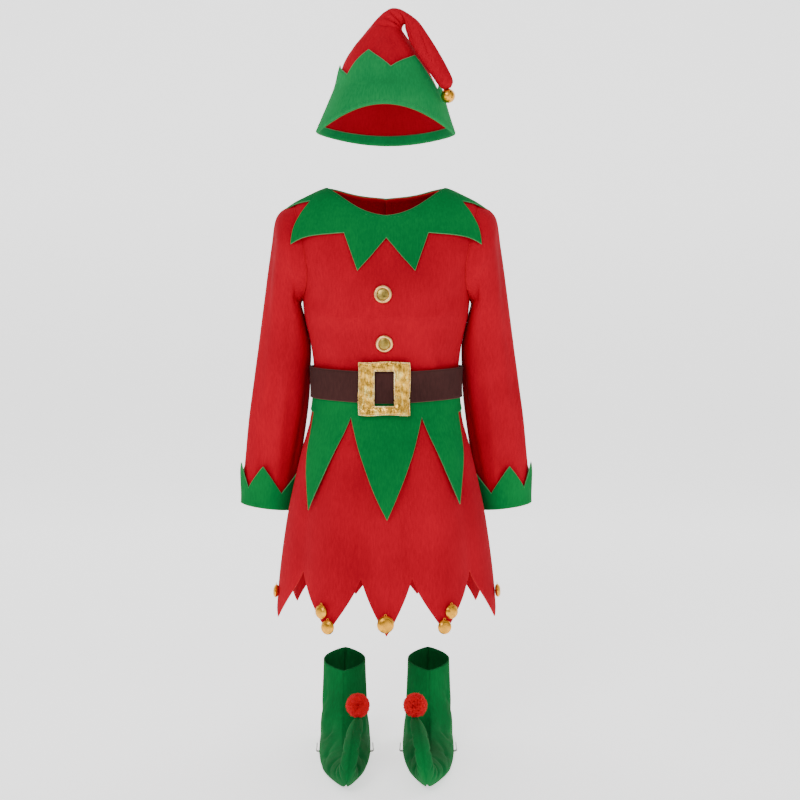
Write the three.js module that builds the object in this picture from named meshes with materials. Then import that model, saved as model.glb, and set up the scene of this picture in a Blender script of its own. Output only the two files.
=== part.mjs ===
// Elf costume for a child of about 122 cm: a hat, a dress and a pair of shoe covers, filled out as
// worn with no wearer. Millimetres, +Z up. The front faces -Y and the wearer's left is +X.
// The origin is at the neck, midway between the two neck points, where the shoulders carry the dress.
import * as THREE from 'three';

// Driving dimensions of the cloth.
const CLOTH = 1.6;
const TRIM_CLOTH = 1.4;
const SEAM = 0.3;
const LAYER = 2.3;
const SAMPLE = 0.01;

// Driving dimensions of the dress.
const CHEST_Z = -185;
const NECK_HALF_WIDTH = 86;
const NECK_FRONT_DROP = 40;
const NECK_BACK_DROP = 14;
const NECK_FRONT_Y = 51;
const NECK_BACK_Y = 33;
const SHOULDER_TIP = { x: 132, z: -22 };
const ARMPIT = { x: 120, z: -160 };
const ARMHOLE_HALF_DEPTH = 56;
const CHEST_POWER = 2.5;
const PANEL_LEVELS = [CHEST_Z, -225, -268, -312, -345, -380, -430, -485, -535];
const BELT_TOP_Z = -261;
const BELT_RISE = 5;
const BELT_HEIGHT = 46;
const PEPLUM_TOP_Z = -296;

// Driving dimensions of the trim.
const BUCKLE = { x: -3, z: -284.8, width: 73.5, height: 75, holeWidth: 27.5, holeHeight: 50, pad: 4.4 };
const BUTTON_THICK = 4;
const BELL_RADIUS = 10;
const POMPOM_RADIUS = 17;
const POMPOM_CORE = 12;
const SHOE_X = 63;

// A table is a list of rows whose columns have names.
function table(names, rows) {
  const columns = names.split(' ');
  return rows.map((row) => Object.fromEntries(columns.map((name, i) => [name, row[i]])));
}

// Height, half width, half depths and squareness of the dress from the chest to the hem.
const DRESS_RINGS = table('z halfWidth front back power', [
  [-185, 119, 82, 80, CHEST_POWER],
  [-225, 110, 77, 75, 2.4],
  [-272, 105, 73, 71, 2.3],
  [-312, 106, 74, 72, 2.25],
  [-345, 114, 82, 80, 2.2],
  [-380, 124, 92, 90, 2.2],
  [-425, 134, 99, 98, 2.2],
  [-472, 143, 106, 105, 2.2],
  [-526, 150, 112, 111, 2.2],
  [-575, 155, 117, 116, 2.2],
  [-640, 160, 122, 121, 2.2],
]);

// Front outline above the chest, seen from the middle of the chest: elevation in degrees, reach of
// the dress body alone, reach with the sleeve heads on it, and half depth.
const SHOULDER_RINGS = table('angle body covered depth', [
  [-8, 118, 150, 81],
  [0, 119, 160, 82],
  [20, 131, 178, 80],
  [31, 152, 196, 78],
  [38, 176, 206, 76],
  [44, 197, 213, 74],
  [50.6, 210, 211.5, 72],
  [57, 207.5, 208, 71],
  [65.4, 204, 204.5, 70],
  [76, 192.5, 193, 68],
  [90, 186.5, 187, 68],
]);

// Hem of one half of the dress: angle from the centre front, height, and columns up to the next row.
const HEM = table('angle z columns', [
  [0, -632, 3],
  [18.7, -552, 3],
  [36, -628, 3],
  [60.4, -549, 3],
  [79.5, -626, 3],
  [98.4, -550, 4],
  [118, -626, 4],
  [136, -550, 3],
  [158, -627, 3],
  [180, -551, 0],
]);
const SIDE_SEAM_ROW = 5;

// Soft folds of the skirt: angle, half width in degrees, depth at the hem (outwards is positive).
const SKIRT_FOLDS = table('angle spread depth', [
  [-4, 9, 5],
  [19, 7, -6],
  [37, 10, 6],
  [61, 8, -7],
  [83, 8, 5],
  [101, 8, -6],
  [121, 10, 6],
  [138, 8, -6],
  [159, 10, 5],
  [180, 7, -5],
  [-20, 7, -6],
  [-35, 9, 7],
  [-59, 8, -6],
  [-80, 9, 4],
  [-99, 8, -7],
  [-117, 9, 6],
  [-135, 8, -5],
  [-157, 10, 6],
]);

// Sleeve sections from the armhole to the wrist: outer edge, inner edge, half depth, middle in Y.
const SLEEVE = table('outX outZ inX inZ halfDepth midY', [
  [136, -23, 124.5, -162, 56, 0],
  [151, -29.5, 126, -166, 55, 1],
  [161.5, -44.5, 125, -172, 52, 2],
  [167.5, -81, 122, -183, 48, 5],
  [174, -122, 117.6, -202, 44, 9],
  [181, -170, 112.6, -228, 41, 14],
  [189, -225, 113.5, -262, 38, 20],
  [198, -285, 116, -304, 36, 28],
  [206, -340, 122, -350, 35, 35],
  [212, -392, 130, -400, 35, 42],
  [217, -436, 138, -445, 36, 49],
  [219, -464, 141, -474, 37, 52],
]);

// Upper edge of a turned-up cuff: angle round the sleeve from its outer side, height above the wrist.
const CUFF_EDGE = table('angle rise', [
  [22, 75],
  [48, 40],
  [77, 76],
  [119, 37],
  [150, 73],
  [178, 39],
  [205, 74],
  [235, 40],
  [265, 75],
  [296, 40],
  [326, 75],
  [354, 42],
  [382, 75],
]);

// Outer edge of half the collar, from the centre front to the centre back: place round the neck in
// degrees, and the edge point seen from the front; side is -1 on the front and +1 on the back.
const COLLAR_EDGE = table('neckAngle x z side', [
  [0, 0, -72, -1],
  [15, 41, -119, -1],
  [27, 60, -65, -1],
  [43, 135, -81, -1],
  [81, 107, -19, -1],
  [90, 146, -31, 0],
  [99, 107, -17, 1],
  [137, 133, -84, 1],
  [152, 60, -50, 1],
  [166, 46, -104, 1],
  [180, 5, -52, 1],
]);

// Lower edge of the skirt panel under the belt, all round.
const PEPLUM_EDGE = table('angle z', [
  [-180, -462],
  [-150, -328],
  [-121, -458],
  [-99, -318],
  [-76, -324],
  [-57, -461],
  [-35, -327],
  [0, -470],
  [35, -327],
  [53, -452],
  [75, -324],
  [99, -318],
  [121, -456],
  [149, -328],
  [180, -462],
]);

// Hat sections from the rim to the end of the tail: left edge, right edge, how far the front rises
// and the back drops, half depth and middle in Y.
const HAT = table('leftX leftZ rightX rightZ rise drop halfDepth midY', [
  [-99, 88, 98, 86, 32, 9, 75, 12],
  [-90, 107.5, 90, 107.5, 23, 5, 73, 11],
  [-80, 129, 83, 126.5, 15, 2, 68, 9],
  [-71, 149.5, 76, 144, 8, 0, 61, 7],
  [-62, 181, 58, 179, 3, 0, 51, 5],
  [-47.5, 204.5, 45, 200.5, 1, 0, 41, 3],
  [-34, 220.5, 34, 214, 0, 0, 31, 1],
  [-22, 235, 27, 223, 0, 0, 23, -1],
  [-10, 247.5, 23.5, 227.5, 0, 0, 17, -4],
  [0, 255.5, 23, 231, 0, 0, 14, -7],
  [9, 258.5, 24.5, 235, 0, 0, 12, -10],
  [20, 256.5, 28, 237, 0, 0, 11, -13],
  [31, 250, 28, 231, 0, 0, 10.5, -17],
  [40, 243, 30, 222, 0, 0, 10, -21.5],
  [48.5, 234, 33.5, 211, 0, 0, 9.5, -27],
  [61, 215, 41, 197, 0, 0, 9.5, -32],
  [73, 196, 50.5, 181, 0, 0, 9.5, -34],
  [85.5, 174, 63, 163.5, 0, 0, 9, -35],
  [95, 153.5, 75.5, 146.5, 0, 0, 8, -35],
  [92.5, 143.5, 83, 140.5, 0, 0, 3.2, -35],
]);

// Upper edge of the hat band: angle round the hat, height in rows of the hat table, stand-off.
const BAND_EDGE = table('angle row stand', [
  [-180, 2.1, 3],
  [-145, 3.0, 15],
  [-116, 2.1, 5],
  [-84, 3.9, 4],
  [-52, 3.35, 2.5],
  [-24, 4.5, 3],
  [5.5, 3.55, 2.5],
  [47, 4.3, 3.5],
  [66, 2.85, 3],
  [92, 3.45, 7],
  [120, 2.4, 4],
  [150, 3.3, 6],
  [180, 2.1, 3],
]);

// Shoe cover sections from the ankle to the end of the curled toe: point on the instep seam, point
// on the heel seam or sole edge, half width, how far the sole is open, shift towards the other shoe.
const SHOE = table('topY topZ lowY lowZ halfWidth open shift', [
  [-39, -705, 31, -688, 30.5, 0, 0],
  [-41, -727, 32, -725, 31.5, 0, 0],
  [-46, -754, 33, -762, 33, 0, 0],
  [-55, -773, 33, -797, 35, 0.3, 0],
  [-69, -786, 22, -822, 37, 1, 0],
  [-91, -793, -22, -822, 37.5, 1, 1],
  [-117, -796, -73, -822, 36, 1, 2],
  [-146, -796, -135, -822, 29, 0.8, 3],
  [-174, -793, -193, -821, 17, 0.2, 6],
  [-187, -785, -222, -809, 11.5, 0, 9],
  [-185, -777, -228, -788, 10.5, 0, 12],
  [-168, -773, -203, -762, 10.5, 0, 15],
  [-140, -771, -154, -752, 10, 0, 18],
  [-113, -768, -116, -752, 7.5, 0, 21],
  [-101, -763, -102, -754.5, 4.5, 0, 22],
]);

const radians = THREE.MathUtils.degToRad;
const point = (x, y, z) => new THREE.Vector3(x, y, z);

// Smooth value of every column of a table at a key; the key is a column or the row number.
function smoothRow(rows, value, key) {
  const at = (i) => (key ? rows[i][key] : i);
  const rising = at(1) > at(0);
  let i = 0;
  while (i < rows.length - 2 && (rising ? at(i + 1) < value : at(i + 1) > value)) {
    i += 1;
  }
  const span = at(i + 1) - at(i);
  const t = (value - at(i)) / span;
  const before = Math.max(i - 1, 0);
  const after = Math.min(i + 2, rows.length - 1);
  const result = {};
  for (const name of Object.keys(rows[0])) {
    const start = rows[i][name];
    const end = rows[i + 1][name];
    const slopeIn = (end - rows[before][name]) / (at(i + 1) - at(before)) * span;
    const slopeOut = (rows[after][name] - start) / (at(after) - at(i)) * span;
    const cubic = 2 * t ** 3 - 3 * t ** 2;
    const leave = t ** 3 - 2 * t ** 2 + t;
    const arrive = t ** 3 - t ** 2;
    const inside = t >= 0 && t <= 1;
    const eased = (1 + cubic) * start - cubic * end + leave * slopeIn + arrive * slopeOut;
    result[name] = inside ? eased : start + (end - start) * t;
  }
  return result;
}

// Straight value of a column between the rows of an edge table.
function edgeAt(rows, key, value, name) {
  let i = 0;
  while (i < rows.length - 2 && rows[i + 1][key] < value) {
    i += 1;
  }
  const t = (value - rows[i][key]) / (rows[i + 1][key] - rows[i][key]);
  return rows[i][name] + (rows[i + 1][name] - rows[i][name]) * t;
}

// Angles with the same number of columns between successive rows of an edge table.
function edgeColumns(rows, key, between) {
  const angles = [];
  for (let i = 0; i < rows.length - 1; i += 1) {
    for (let k = 0; k < between; k += 1) {
      angles.push(rows[i][key] + (rows[i + 1][key] - rows[i][key]) * k / between);
    }
  }
  angles.push(rows[rows.length - 1][key]);
  return angles;
}

const steps = (from, to, count) => Array.from({ length: count + 1 }, (_, i) => from + (to - from) * i / count);

// Unit normal of a surface of two parameters.
function normalOf(surface, u, v) {
  const along = surface(u + SAMPLE, v).sub(surface(u - SAMPLE, v));
  const down = surface(u, v + SAMPLE).sub(surface(u, v - SAMPLE));
  return along.cross(down).normalize();
}

// A surface moved along its normal; side is 1 or -1 and turns the normal outwards.
function movedOut(surface, distance, side) {
  return (u, v) => {
    const away = typeof distance === 'function' ? distance(u, v) : distance;
    return surface(u, v).addScaledVector(normalOf(surface, u, v), away * side);
  };
}

const mirrored = (surface) => (u, v) => surface(u, v).multiply(point(-1, 1, 1));

function bodyOf(positions, faces) {
  let volume = 0;
  for (const [a, b, c] of faces) {
    volume += positions[a].dot(positions[b].clone().cross(positions[c]));
  }
  const geometry = new THREE.BufferGeometry();
  geometry.setAttribute('position', new THREE.Float32BufferAttribute(positions.flatMap((p) => [p.x, p.y, p.z]), 3));
  geometry.setIndex(faces.flatMap(([a, b, c]) => (volume > 0 ? [a, b, c] : [a, c, b])));
  geometry.computeVertexNormals();
  return geometry;
}

// Cloth of an even wall on a surface. A ring closes on itself along u; otherwise the two side
// borders are drawn in by half a seam, and so is the first row where seamTop is set.
function cloth(surface, us, vs, { wall = CLOTH, ring = false, seamSides = false, seamTop = false } = {}) {
  const middle = vs.map((v) => us.map((u) => surface(u, v)));
  const normals = vs.map((v) => us.map((u) => normalOf(surface, u, v)));
  const drawIn = (p, towards) => p.add(towards.clone().sub(p).setLength(SEAM / 2));
  const last = us.length - 1;
  if (seamTop) {
    middle[0].forEach((p, i) => drawIn(p, middle[1][i]));
  }
  if (seamSides) {
    middle.forEach((row) => {
      drawIn(row[0], row[1]);
      drawIn(row[last], row[last - 1]);
    });
  }
  const positions = [];
  for (const side of [0.5, -0.5]) {
    middle.forEach((row, j) => row.forEach((p, i) => {
      positions.push(p.clone().addScaledVector(normals[j][i], wall * side));
    }));
  }
  const columns = us.length;
  const inner = vs.length * columns;
  const faces = [];
  const quad = (a, b, c, d) => faces.push([a, b, c], [a, c, d]);
  const spans = ring ? columns : columns - 1;
  for (let i = 0; i < spans; i += 1) {
    const next = (i + 1) % columns;
    for (let j = 0; j < vs.length - 1; j += 1) {
      const a = j * columns + i;
      const b = j * columns + next;
      quad(a, b, b + columns, a + columns);
      quad(inner + a, inner + a + columns, inner + b + columns, inner + b);
    }
    const end = (vs.length - 1) * columns;
    quad(next, i, inner + i, inner + next);
    quad(end + i, end + next, inner + end + next, inner + end + i);
  }
  if (!ring) {
    for (let j = 0; j < vs.length - 1; j += 1) {
      const a = j * columns;
      const b = a + columns - 1;
      quad(a, a + columns, inner + a + columns, inner + a);
      quad(b + columns, b, inner + b, inner + b + columns);
    }
  }
  return bodyOf(positions, faces);
}

// A solid whose sections close on themselves and follow a loop that closes too.
function hoop(pointAt, around, across) {
  const positions = [];
  for (let i = 0; i < around; i += 1) {
    for (let j = 0; j < across; j += 1) {
      positions.push(pointAt(i, j));
    }
  }
  const faces = [];
  for (let i = 0; i < around; i += 1) {
    for (let j = 0; j < across; j += 1) {
      const a = i * across + j;
      const b = ((i + 1) % around) * across + j;
      const c = ((i + 1) % around) * across + (j + 1) % across;
      const d = i * across + (j + 1) % across;
      faces.push([a, b, c], [a, c, d]);
    }
  }
  return bodyOf(positions, faces);
}

// Materials.
const finish = (color, roughness, metalness = 0) => new THREE.MeshStandardMaterial({ color, roughness, metalness });
const RED = finish(0xc8191f, 0.9);
const GREEN = finish(0x0a7f37, 0.9);
const BROWN = finish(0x482b2a, 0.85);
const LAME = finish(0xd9b45c, 0.35, 0.8);
const BRASS = finish(0xe0a94a, 0.25, 1);
const ELASTIC = finish(0xd8d8d4, 0.8);
const POMPOM = finish(0xd71414, 0.95);

const costume = new THREE.Group();
function add(name, geometry, material) {
  const mesh = new THREE.Mesh(geometry, material);
  mesh.name = name;
  costume.add(mesh);
  return mesh;
}

// The dress from the chest down: angle is 0 at the front and grows towards the wearer's left.
function foldDepth(angle, z) {
  const open = THREE.MathUtils.smoothstep(-z, 345, 600);
  let depth = 0;
  for (const fold of SKIRT_FOLDS) {
    const off = Math.abs(THREE.MathUtils.euclideanModulo(angle - fold.angle + 180, 360) - 180);
    depth += fold.depth * Math.exp(-((off / fold.spread) ** 2));
  }
  return depth * open;
}

function lowerPoint(angle, z) {
  const ring = smoothRow(DRESS_RINGS, z, 'z');
  const across = Math.sin(radians(angle));
  const ahead = Math.cos(radians(angle));
  const depth = (ring.front + ring.back) / 2 + (ring.front - ring.back) / 2 * ahead;
  const sum = Math.abs(across / ring.halfWidth) ** ring.power + Math.abs(ahead / depth) ** ring.power;
  const reach = sum ** (-1 / ring.power) + foldDepth(angle, z);
  return point(reach * across, -reach * ahead, z);
}

// The dress above the chest, along a direction from the middle of the chest.
function upperPoint(direction, column) {
  const { x, y, z } = direction;
  const flat = Math.hypot(x, z);
  const reach = smoothRow(SHOULDER_RINGS, THREE.MathUtils.radToDeg(Math.atan2(z, Math.abs(x))), 'angle')[column];
  const { depth } = smoothRow(SHOULDER_RINGS, THREE.MathUtils.radToDeg(Math.asin(z)), 'angle');
  const sum = (flat / reach) ** CHEST_POWER + Math.abs(y / depth) ** CHEST_POWER;
  return direction.clone().multiplyScalar(sum ** (-1 / CHEST_POWER)).add(point(0, 0, CHEST_Z));
}

const directionTo = (target) => target.clone().sub(point(0, 0, CHEST_Z)).normalize();

function neckTarget(angle) {
  const ahead = Math.cos(radians(angle));
  const depth = ahead > 0 ? NECK_FRONT_Y : NECK_BACK_Y;
  const drop = ahead > 0 ? NECK_FRONT_DROP : NECK_BACK_DROP;
  return point(NECK_HALF_WIDTH * Math.sin(radians(angle)), -depth * ahead, -drop * ahead * ahead);
}

// Armhole target: 0 at the shoulder tip, 90 at the front, 180 at the armpit, 270 at the back.
function armholeTarget(angle) {
  const up = (1 + Math.cos(radians(angle))) / 2;
  const x = THREE.MathUtils.lerp(ARMPIT.x, SHOULDER_TIP.x, up);
  const z = THREE.MathUtils.lerp(ARMPIT.z, SHOULDER_TIP.z, up);
  return point(x, -ARMHOLE_HALF_DEPTH * Math.sin(radians(angle)), z);
}

const armholePoint = (angle) => upperPoint(directionTo(armholeTarget(angle)), 'body');

// Columns of half a panel from its centre to the side seam: neck, shoulder, then armhole at the top,
// and the places on the hem below them.
const ARMHOLE_COLUMNS = 8;
const SHOULDER_COLUMNS = 2;

function hemColumns(rows) {
  const columns = [];
  rows.slice(0, -1).forEach((row, i) => {
    for (let k = 0; k < row.columns; k += 1) {
      const t = k / row.columns;
      columns.push({
        angle: THREE.MathUtils.lerp(row.angle, rows[i + 1].angle, t),
        z: THREE.MathUtils.lerp(row.z, rows[i + 1].z, t),
      });
    }
  });
  const { angle, z } = rows[rows.length - 1];
  columns.push({ angle, z });
  return columns;
}

function halfPanel(hems, neckFrom, neckColumns, armholeTurn) {
  const tops = steps(neckFrom, 90, neckColumns).map(neckTarget);
  const neckPoint = neckTarget(90);
  for (let i = 1; i < SHOULDER_COLUMNS; i += 1) {
    tops.push(neckPoint.clone().lerp(armholeTarget(0), i / SHOULDER_COLUMNS));
  }
  steps(0, 180, ARMHOLE_COLUMNS).forEach((angle) => tops.push(armholeTarget(angle * armholeTurn)));
  return tops.map((top, i) => ({ top: directionTo(top), angle: hems[i].angle, z: hems[i].z }));
}

// A panel's surface: u counts its columns from the centre, v runs 0 to 1 above the chest, 1 to 2
// down to the level part of the skirt, and 2 to 3 into the points of the hem.
function panelSurface(columns, sideSeamAngle) {
  const middle = columns[0].angle;
  return (u, v) => {
    const side = u < 0 ? -1 : 1;
    const i = Math.min(Math.floor(Math.abs(u)), columns.length - 2);
    const t = Math.abs(u) - i;
    const hemAngle = THREE.MathUtils.lerp(columns[i].angle, columns[i + 1].angle, t);
    const hemZ = THREE.MathUtils.lerp(columns[i].z, columns[i + 1].z, t);
    const chestAngle = middle + (hemAngle - middle) * (90 - middle) / (sideSeamAngle - middle);
    let p;
    if (v <= 1) {
      const top = columns[i].top.clone().lerp(columns[i + 1].top, t);
      const chest = point(Math.sin(radians(chestAngle)), -Math.cos(radians(chestAngle)), 0);
      p = upperPoint(top.lerp(chest, v).normalize(), 'body');
    } else {
      const down = Math.min(v - 1, 1);
      const step = Math.min(Math.floor(down * LAST_LEVEL), LAST_LEVEL - 1);
      const level = THREE.MathUtils.lerp(PANEL_LEVELS[step], PANEL_LEVELS[step + 1], down * LAST_LEVEL - step);
      const z = v <= 2 ? level : THREE.MathUtils.lerp(PANEL_LEVELS[LAST_LEVEL], hemZ, v - 2);
      p = lowerPoint(THREE.MathUtils.lerp(chestAngle, hemAngle, down), z);
    }
    p.x *= side;
    return p;
  };
}

const LAST_LEVEL = PANEL_LEVELS.length - 1;
const SIDE_SEAM_ANGLE = HEM[SIDE_SEAM_ROW].angle;
const FRONT_COLUMNS = halfPanel(hemColumns(HEM.slice(0, SIDE_SEAM_ROW + 1)), 0, 5, 1);
const BACK_COLUMNS = halfPanel(hemColumns(HEM.slice(SIDE_SEAM_ROW)).reverse(), 180, 4, -1);
const PANEL_ROWS = [...steps(0, 1, 6), ...steps(1, 2, LAST_LEVEL).slice(1), ...steps(2, 3, 2).slice(1)];
const frontSurface = panelSurface(FRONT_COLUMNS, SIDE_SEAM_ANGLE);
const backSurface = panelSurface(BACK_COLUMNS, SIDE_SEAM_ANGLE);
const HALF_FRONT = FRONT_COLUMNS.length - 1;
const HALF_BACK = BACK_COLUMNS.length - 1;
const PANEL = { seamSides: true, seamTop: true };

add('dress_front', cloth(frontSurface, steps(-HALF_FRONT, HALF_FRONT, 2 * HALF_FRONT), PANEL_ROWS, PANEL), RED);
add('dress_back_left', cloth(backSurface, steps(0, HALF_BACK, HALF_BACK), PANEL_ROWS, PANEL), RED);
add('dress_back_right', cloth(mirrored(backSurface), steps(0, HALF_BACK, HALF_BACK), PANEL_ROWS, PANEL), RED);

// Sleeves, one piece each. The first row follows the armhole, a little way out from it.
const SLEEVE_GAP_TOP = 2.0;
const SLEEVE_GAP_LOW = 3.4;
const SLEEVE_LAST = SLEEVE.length - 1;
function sleevePoint(angle, row) {
  const s = smoothRow(SLEEVE, row);
  const out = Math.cos(radians(angle));
  const p = point(
    (s.outX + s.inX) / 2 + out * (s.outX - s.inX) / 2,
    s.midY - s.halfDepth * Math.sin(radians(angle)),
    (s.outZ + s.inZ) / 2 + out * (s.outZ - s.inZ) / 2,
  );
  if (row < 1) {
    const start = armholePoint(angle);
    start.x += THREE.MathUtils.lerp(SLEEVE_GAP_LOW, SLEEVE_GAP_TOP, (1 + out) / 2);
    p.lerp(start, 1 - Math.max(row, 0));
  }
  return p;
}
const SLEEVE_ANGLES = steps(0, 360, 2 * ARMHOLE_COLUMNS).slice(0, -1);
const sleeveCloth = (surface) => cloth(surface, SLEEVE_ANGLES, steps(0, SLEEVE_LAST, SLEEVE_LAST), { ring: true });
add('sleeve_left', sleeveCloth(sleevePoint), RED);
add('sleeve_right', sleeveCloth(mirrored(sleevePoint)), RED);

// Cuffs, turned up over the ends of the sleeves.
const CUFF_ROW_HEIGHT = 40;
const CUFF_STAND = 2.4;
const CUFF_FLARE = 6;
const CUFF_HANG = 0.12;
const cuffPoint = (angle, up) => {
  const rise = edgeAt(CUFF_EDGE, 'angle', angle < CUFF_EDGE[0].angle ? angle + 360 : angle, 'rise');
  const row = SLEEVE_LAST + CUFF_HANG - up * rise / CUFF_ROW_HEIGHT;
  const away = CUFF_STAND + CUFF_FLARE * (up * rise / CUFF_EDGE[0].rise) ** 2;
  return movedOut(sleevePoint, away, 1)(angle, row);
};
const cuffAngles = edgeColumns(CUFF_EDGE, 'angle', 2).slice(0, -1);
const cuffCloth = (surface) => cloth(surface, cuffAngles, steps(0, 1, 3), { ring: true });
add('cuff_left', cuffCloth(cuffPoint), GREEN);
add('cuff_right', cuffCloth(mirrored(cuffPoint)), GREEN);

// Collar, from the centre back round the front, open at the centre back.
const COLLAR_LIFT = { neck: 2.3, edge: 4.2, shoulder: 1.4, shoulderSpread: 24 };
const collarLift = (neckAngle, down) => {
  const share = THREE.MathUtils.clamp(2 * down, 0, 1);
  const off = (Math.abs(neckAngle) - 90) / COLLAR_LIFT.shoulderSpread;
  const edge = COLLAR_LIFT.edge + COLLAR_LIFT.shoulder * Math.exp(-(off ** 2));
  return THREE.MathUtils.lerp(COLLAR_LIFT.neck, edge, share);
};
const frontOf = (x, z, side) => {
  let near = 0;
  let far = 140;
  while (far - near > 0.05) {
    const y = (near + far) / 2;
    const inside = point(x, side * y, z - CHEST_Z);
    const outer = upperPoint(inside.clone().normalize(), 'covered').add(point(0, 0, -CHEST_Z));
    if (inside.length() < outer.length()) {
      near = y;
    } else {
      far = y;
    }
  }
  return point(x, side * near, z);
};
const COLLAR_RIM = COLLAR_EDGE.map((row) => ({ ...row, edge: directionTo(frontOf(row.x, row.z, row.side || -1)) }));
function collarPoint(neckAngle, down) {
  const side = neckAngle < 0 ? -1 : 1;
  const place = Math.abs(neckAngle);
  let i = 0;
  while (i < COLLAR_RIM.length - 2 && COLLAR_RIM[i + 1].neckAngle < place) {
    i += 1;
  }
  const t = (place - COLLAR_RIM[i].neckAngle) / (COLLAR_RIM[i + 1].neckAngle - COLLAR_RIM[i].neckAngle);
  const edge = COLLAR_RIM[i].edge.clone().lerp(COLLAR_RIM[i + 1].edge, t);
  const p = upperPoint(directionTo(neckTarget(place)).lerp(edge, down).normalize(), 'covered');
  p.x *= side;
  return p;
}
const TRIM_OPEN = { wall: TRIM_CLOTH, seamSides: true };
const collarHalf = edgeColumns(COLLAR_EDGE, 'neckAngle', 3);
const collarColumns = [...collarHalf.slice(1).reverse().map((a) => -a), ...collarHalf];
add('collar', cloth(movedOut(collarPoint, collarLift, -1), collarColumns, steps(0, 1, 4), TRIM_OPEN), GREEN);

// Peplum and belt, each a ring round the waist.
const PEPLUM_STAND = { waist: 3.6, tip: 3.5 };
const peplumPoint = (angle, down) => {
  const z = THREE.MathUtils.lerp(PEPLUM_TOP_Z, edgeAt(PEPLUM_EDGE, 'angle', angle, 'z'), down);
  const stand = PEPLUM_STAND.waist + PEPLUM_STAND.tip * THREE.MathUtils.smoothstep(-z, 320, 480);
  return movedOut(lowerPoint, stand, 1)(angle, z);
};
const peplumAngles = edgeColumns(PEPLUM_EDGE, 'angle', 3).slice(0, -1);
add('peplum', cloth(peplumPoint, peplumAngles, steps(0, 1, 5), { wall: TRIM_CLOTH, ring: true }), GREEN);

const BELT_STAND = 6.7;
const BELT_COLUMNS = 48;
const beltSurface = movedOut(lowerPoint, BELT_STAND, 1);
const beltPoint = (angle, z) => beltSurface(angle, z + BELT_RISE * Math.sin(radians(angle)) ** 2);
const beltRows = steps(BELT_TOP_Z, BELT_TOP_Z - BELT_HEIGHT, 2);
const beltAngles = steps(0, 360, BELT_COLUMNS).slice(0, -1);
add('belt', cloth(beltPoint, beltAngles, beltRows, { ring: true }), BROWN);

// Front of the dress at a place seen from the front, moved out.
function onFront(x, z, away) {
  let low = -80;
  let high = 80;
  while (high - low > 0.001) {
    const angle = (low + high) / 2;
    if (lowerPoint(angle, z).x < x) {
      low = angle;
    } else {
      high = angle;
    }
  }
  return movedOut(lowerPoint, away, 1)(low, z);
}

// Buckle: a padded frame that follows the belt, as a rounded square ring round its hole.
const BUCKLE_AROUND = 32;
const BUCKLE_BACK = BELT_STAND + CLOTH / 2 + 0.9;
const BUCKLE_SECTION = table('across pad', [
  [0, 0],
  [0, 0.55],
  [0.25, 0.95],
  [0.5, 1],
  [0.75, 0.95],
  [1, 0.55],
  [1, 0],
  [0.5, 0],
]);
function squareLoop(step, width, height) {
  const turn = radians(360 * step / BUCKLE_AROUND);
  const [c, s] = [Math.cos(turn), Math.sin(turn)];
  const reach = 1 / Math.max(Math.abs(c), Math.abs(s));
  return [c * reach * width / 2, s * reach * height / 2];
}
function bucklePoint(step, place) {
  const { across, pad } = BUCKLE_SECTION[place];
  const [holeX, holeZ] = squareLoop(step, BUCKLE.holeWidth, BUCKLE.holeHeight);
  const [rimX, rimZ] = squareLoop(step, BUCKLE.width, BUCKLE.height);
  const x = BUCKLE.x + THREE.MathUtils.lerp(holeX, rimX, across);
  const z = BUCKLE.z + THREE.MathUtils.lerp(holeZ, rimZ, across);
  const level = THREE.MathUtils.clamp(z, BELT_TOP_Z - BELT_HEIGHT, BELT_TOP_Z);
  const p = onFront(x, level, BUCKLE_BACK + pad * BUCKLE.pad);
  p.y -= Math.max(level - z, 0) * 0.28;
  return point(x, p.y, z);
}
add('buckle', hoop(bucklePoint, BUCKLE_AROUND, BUCKLE_SECTION.length), LAME);

// Buttons: turned discs with a raised rim and a domed middle.
const BUTTON_PROFILE = table('radius height', [
  [0, 0],
  [0.9, 0],
  [1, 0.35],
  [0.95, 0.85],
  [0.82, 1],
  [0.68, 0.75],
  [0.4, 0.95],
  [0, 1.05],
]);
function addButton(name, x, z, radius) {
  const profile = BUTTON_PROFILE.map((row) => new THREE.Vector2(row.radius * radius, row.height * BUTTON_THICK));
  const mesh = add(name, new THREE.LatheGeometry(profile, 18), BRASS);
  const back = frontSurfaceAt(x, z, CLOTH / 2 + SEAM);
  mesh.position.copy(back.place);
  mesh.quaternion.setFromUnitVectors(point(0, 1, 0), back.out);
}
function frontSurfaceAt(x, z, away) {
  const near = z < CHEST_Z ? onFront(x, z, 0) : frontBodyPoint(x, z);
  const above = z < CHEST_Z ? onFront(x, z + 1, 0) : frontBodyPoint(x, z + 1);
  const beside = z < CHEST_Z ? onFront(x + 1, z, 0) : frontBodyPoint(x + 1, z);
  const out = beside.sub(near).cross(above.sub(near)).normalize();
  return { place: near.addScaledVector(out, away), out };
}
function frontBodyPoint(x, z) {
  let low = 0;
  let high = 140;
  while (high - low > 0.001) {
    const y = (low + high) / 2;
    const rel = point(x, -y, z - CHEST_Z);
    const reach = upperPoint(rel.clone().normalize(), 'body').sub(point(0, 0, CHEST_Z)).length();
    if (rel.length() < reach) {
      low = y;
    } else {
      high = y;
    }
  }
  return point(x, -low, z);
}
addButton('button_upper', -4.8, -151.6, 12.8);
addButton('button_lower', -2.7, -221, 12.4);

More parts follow.
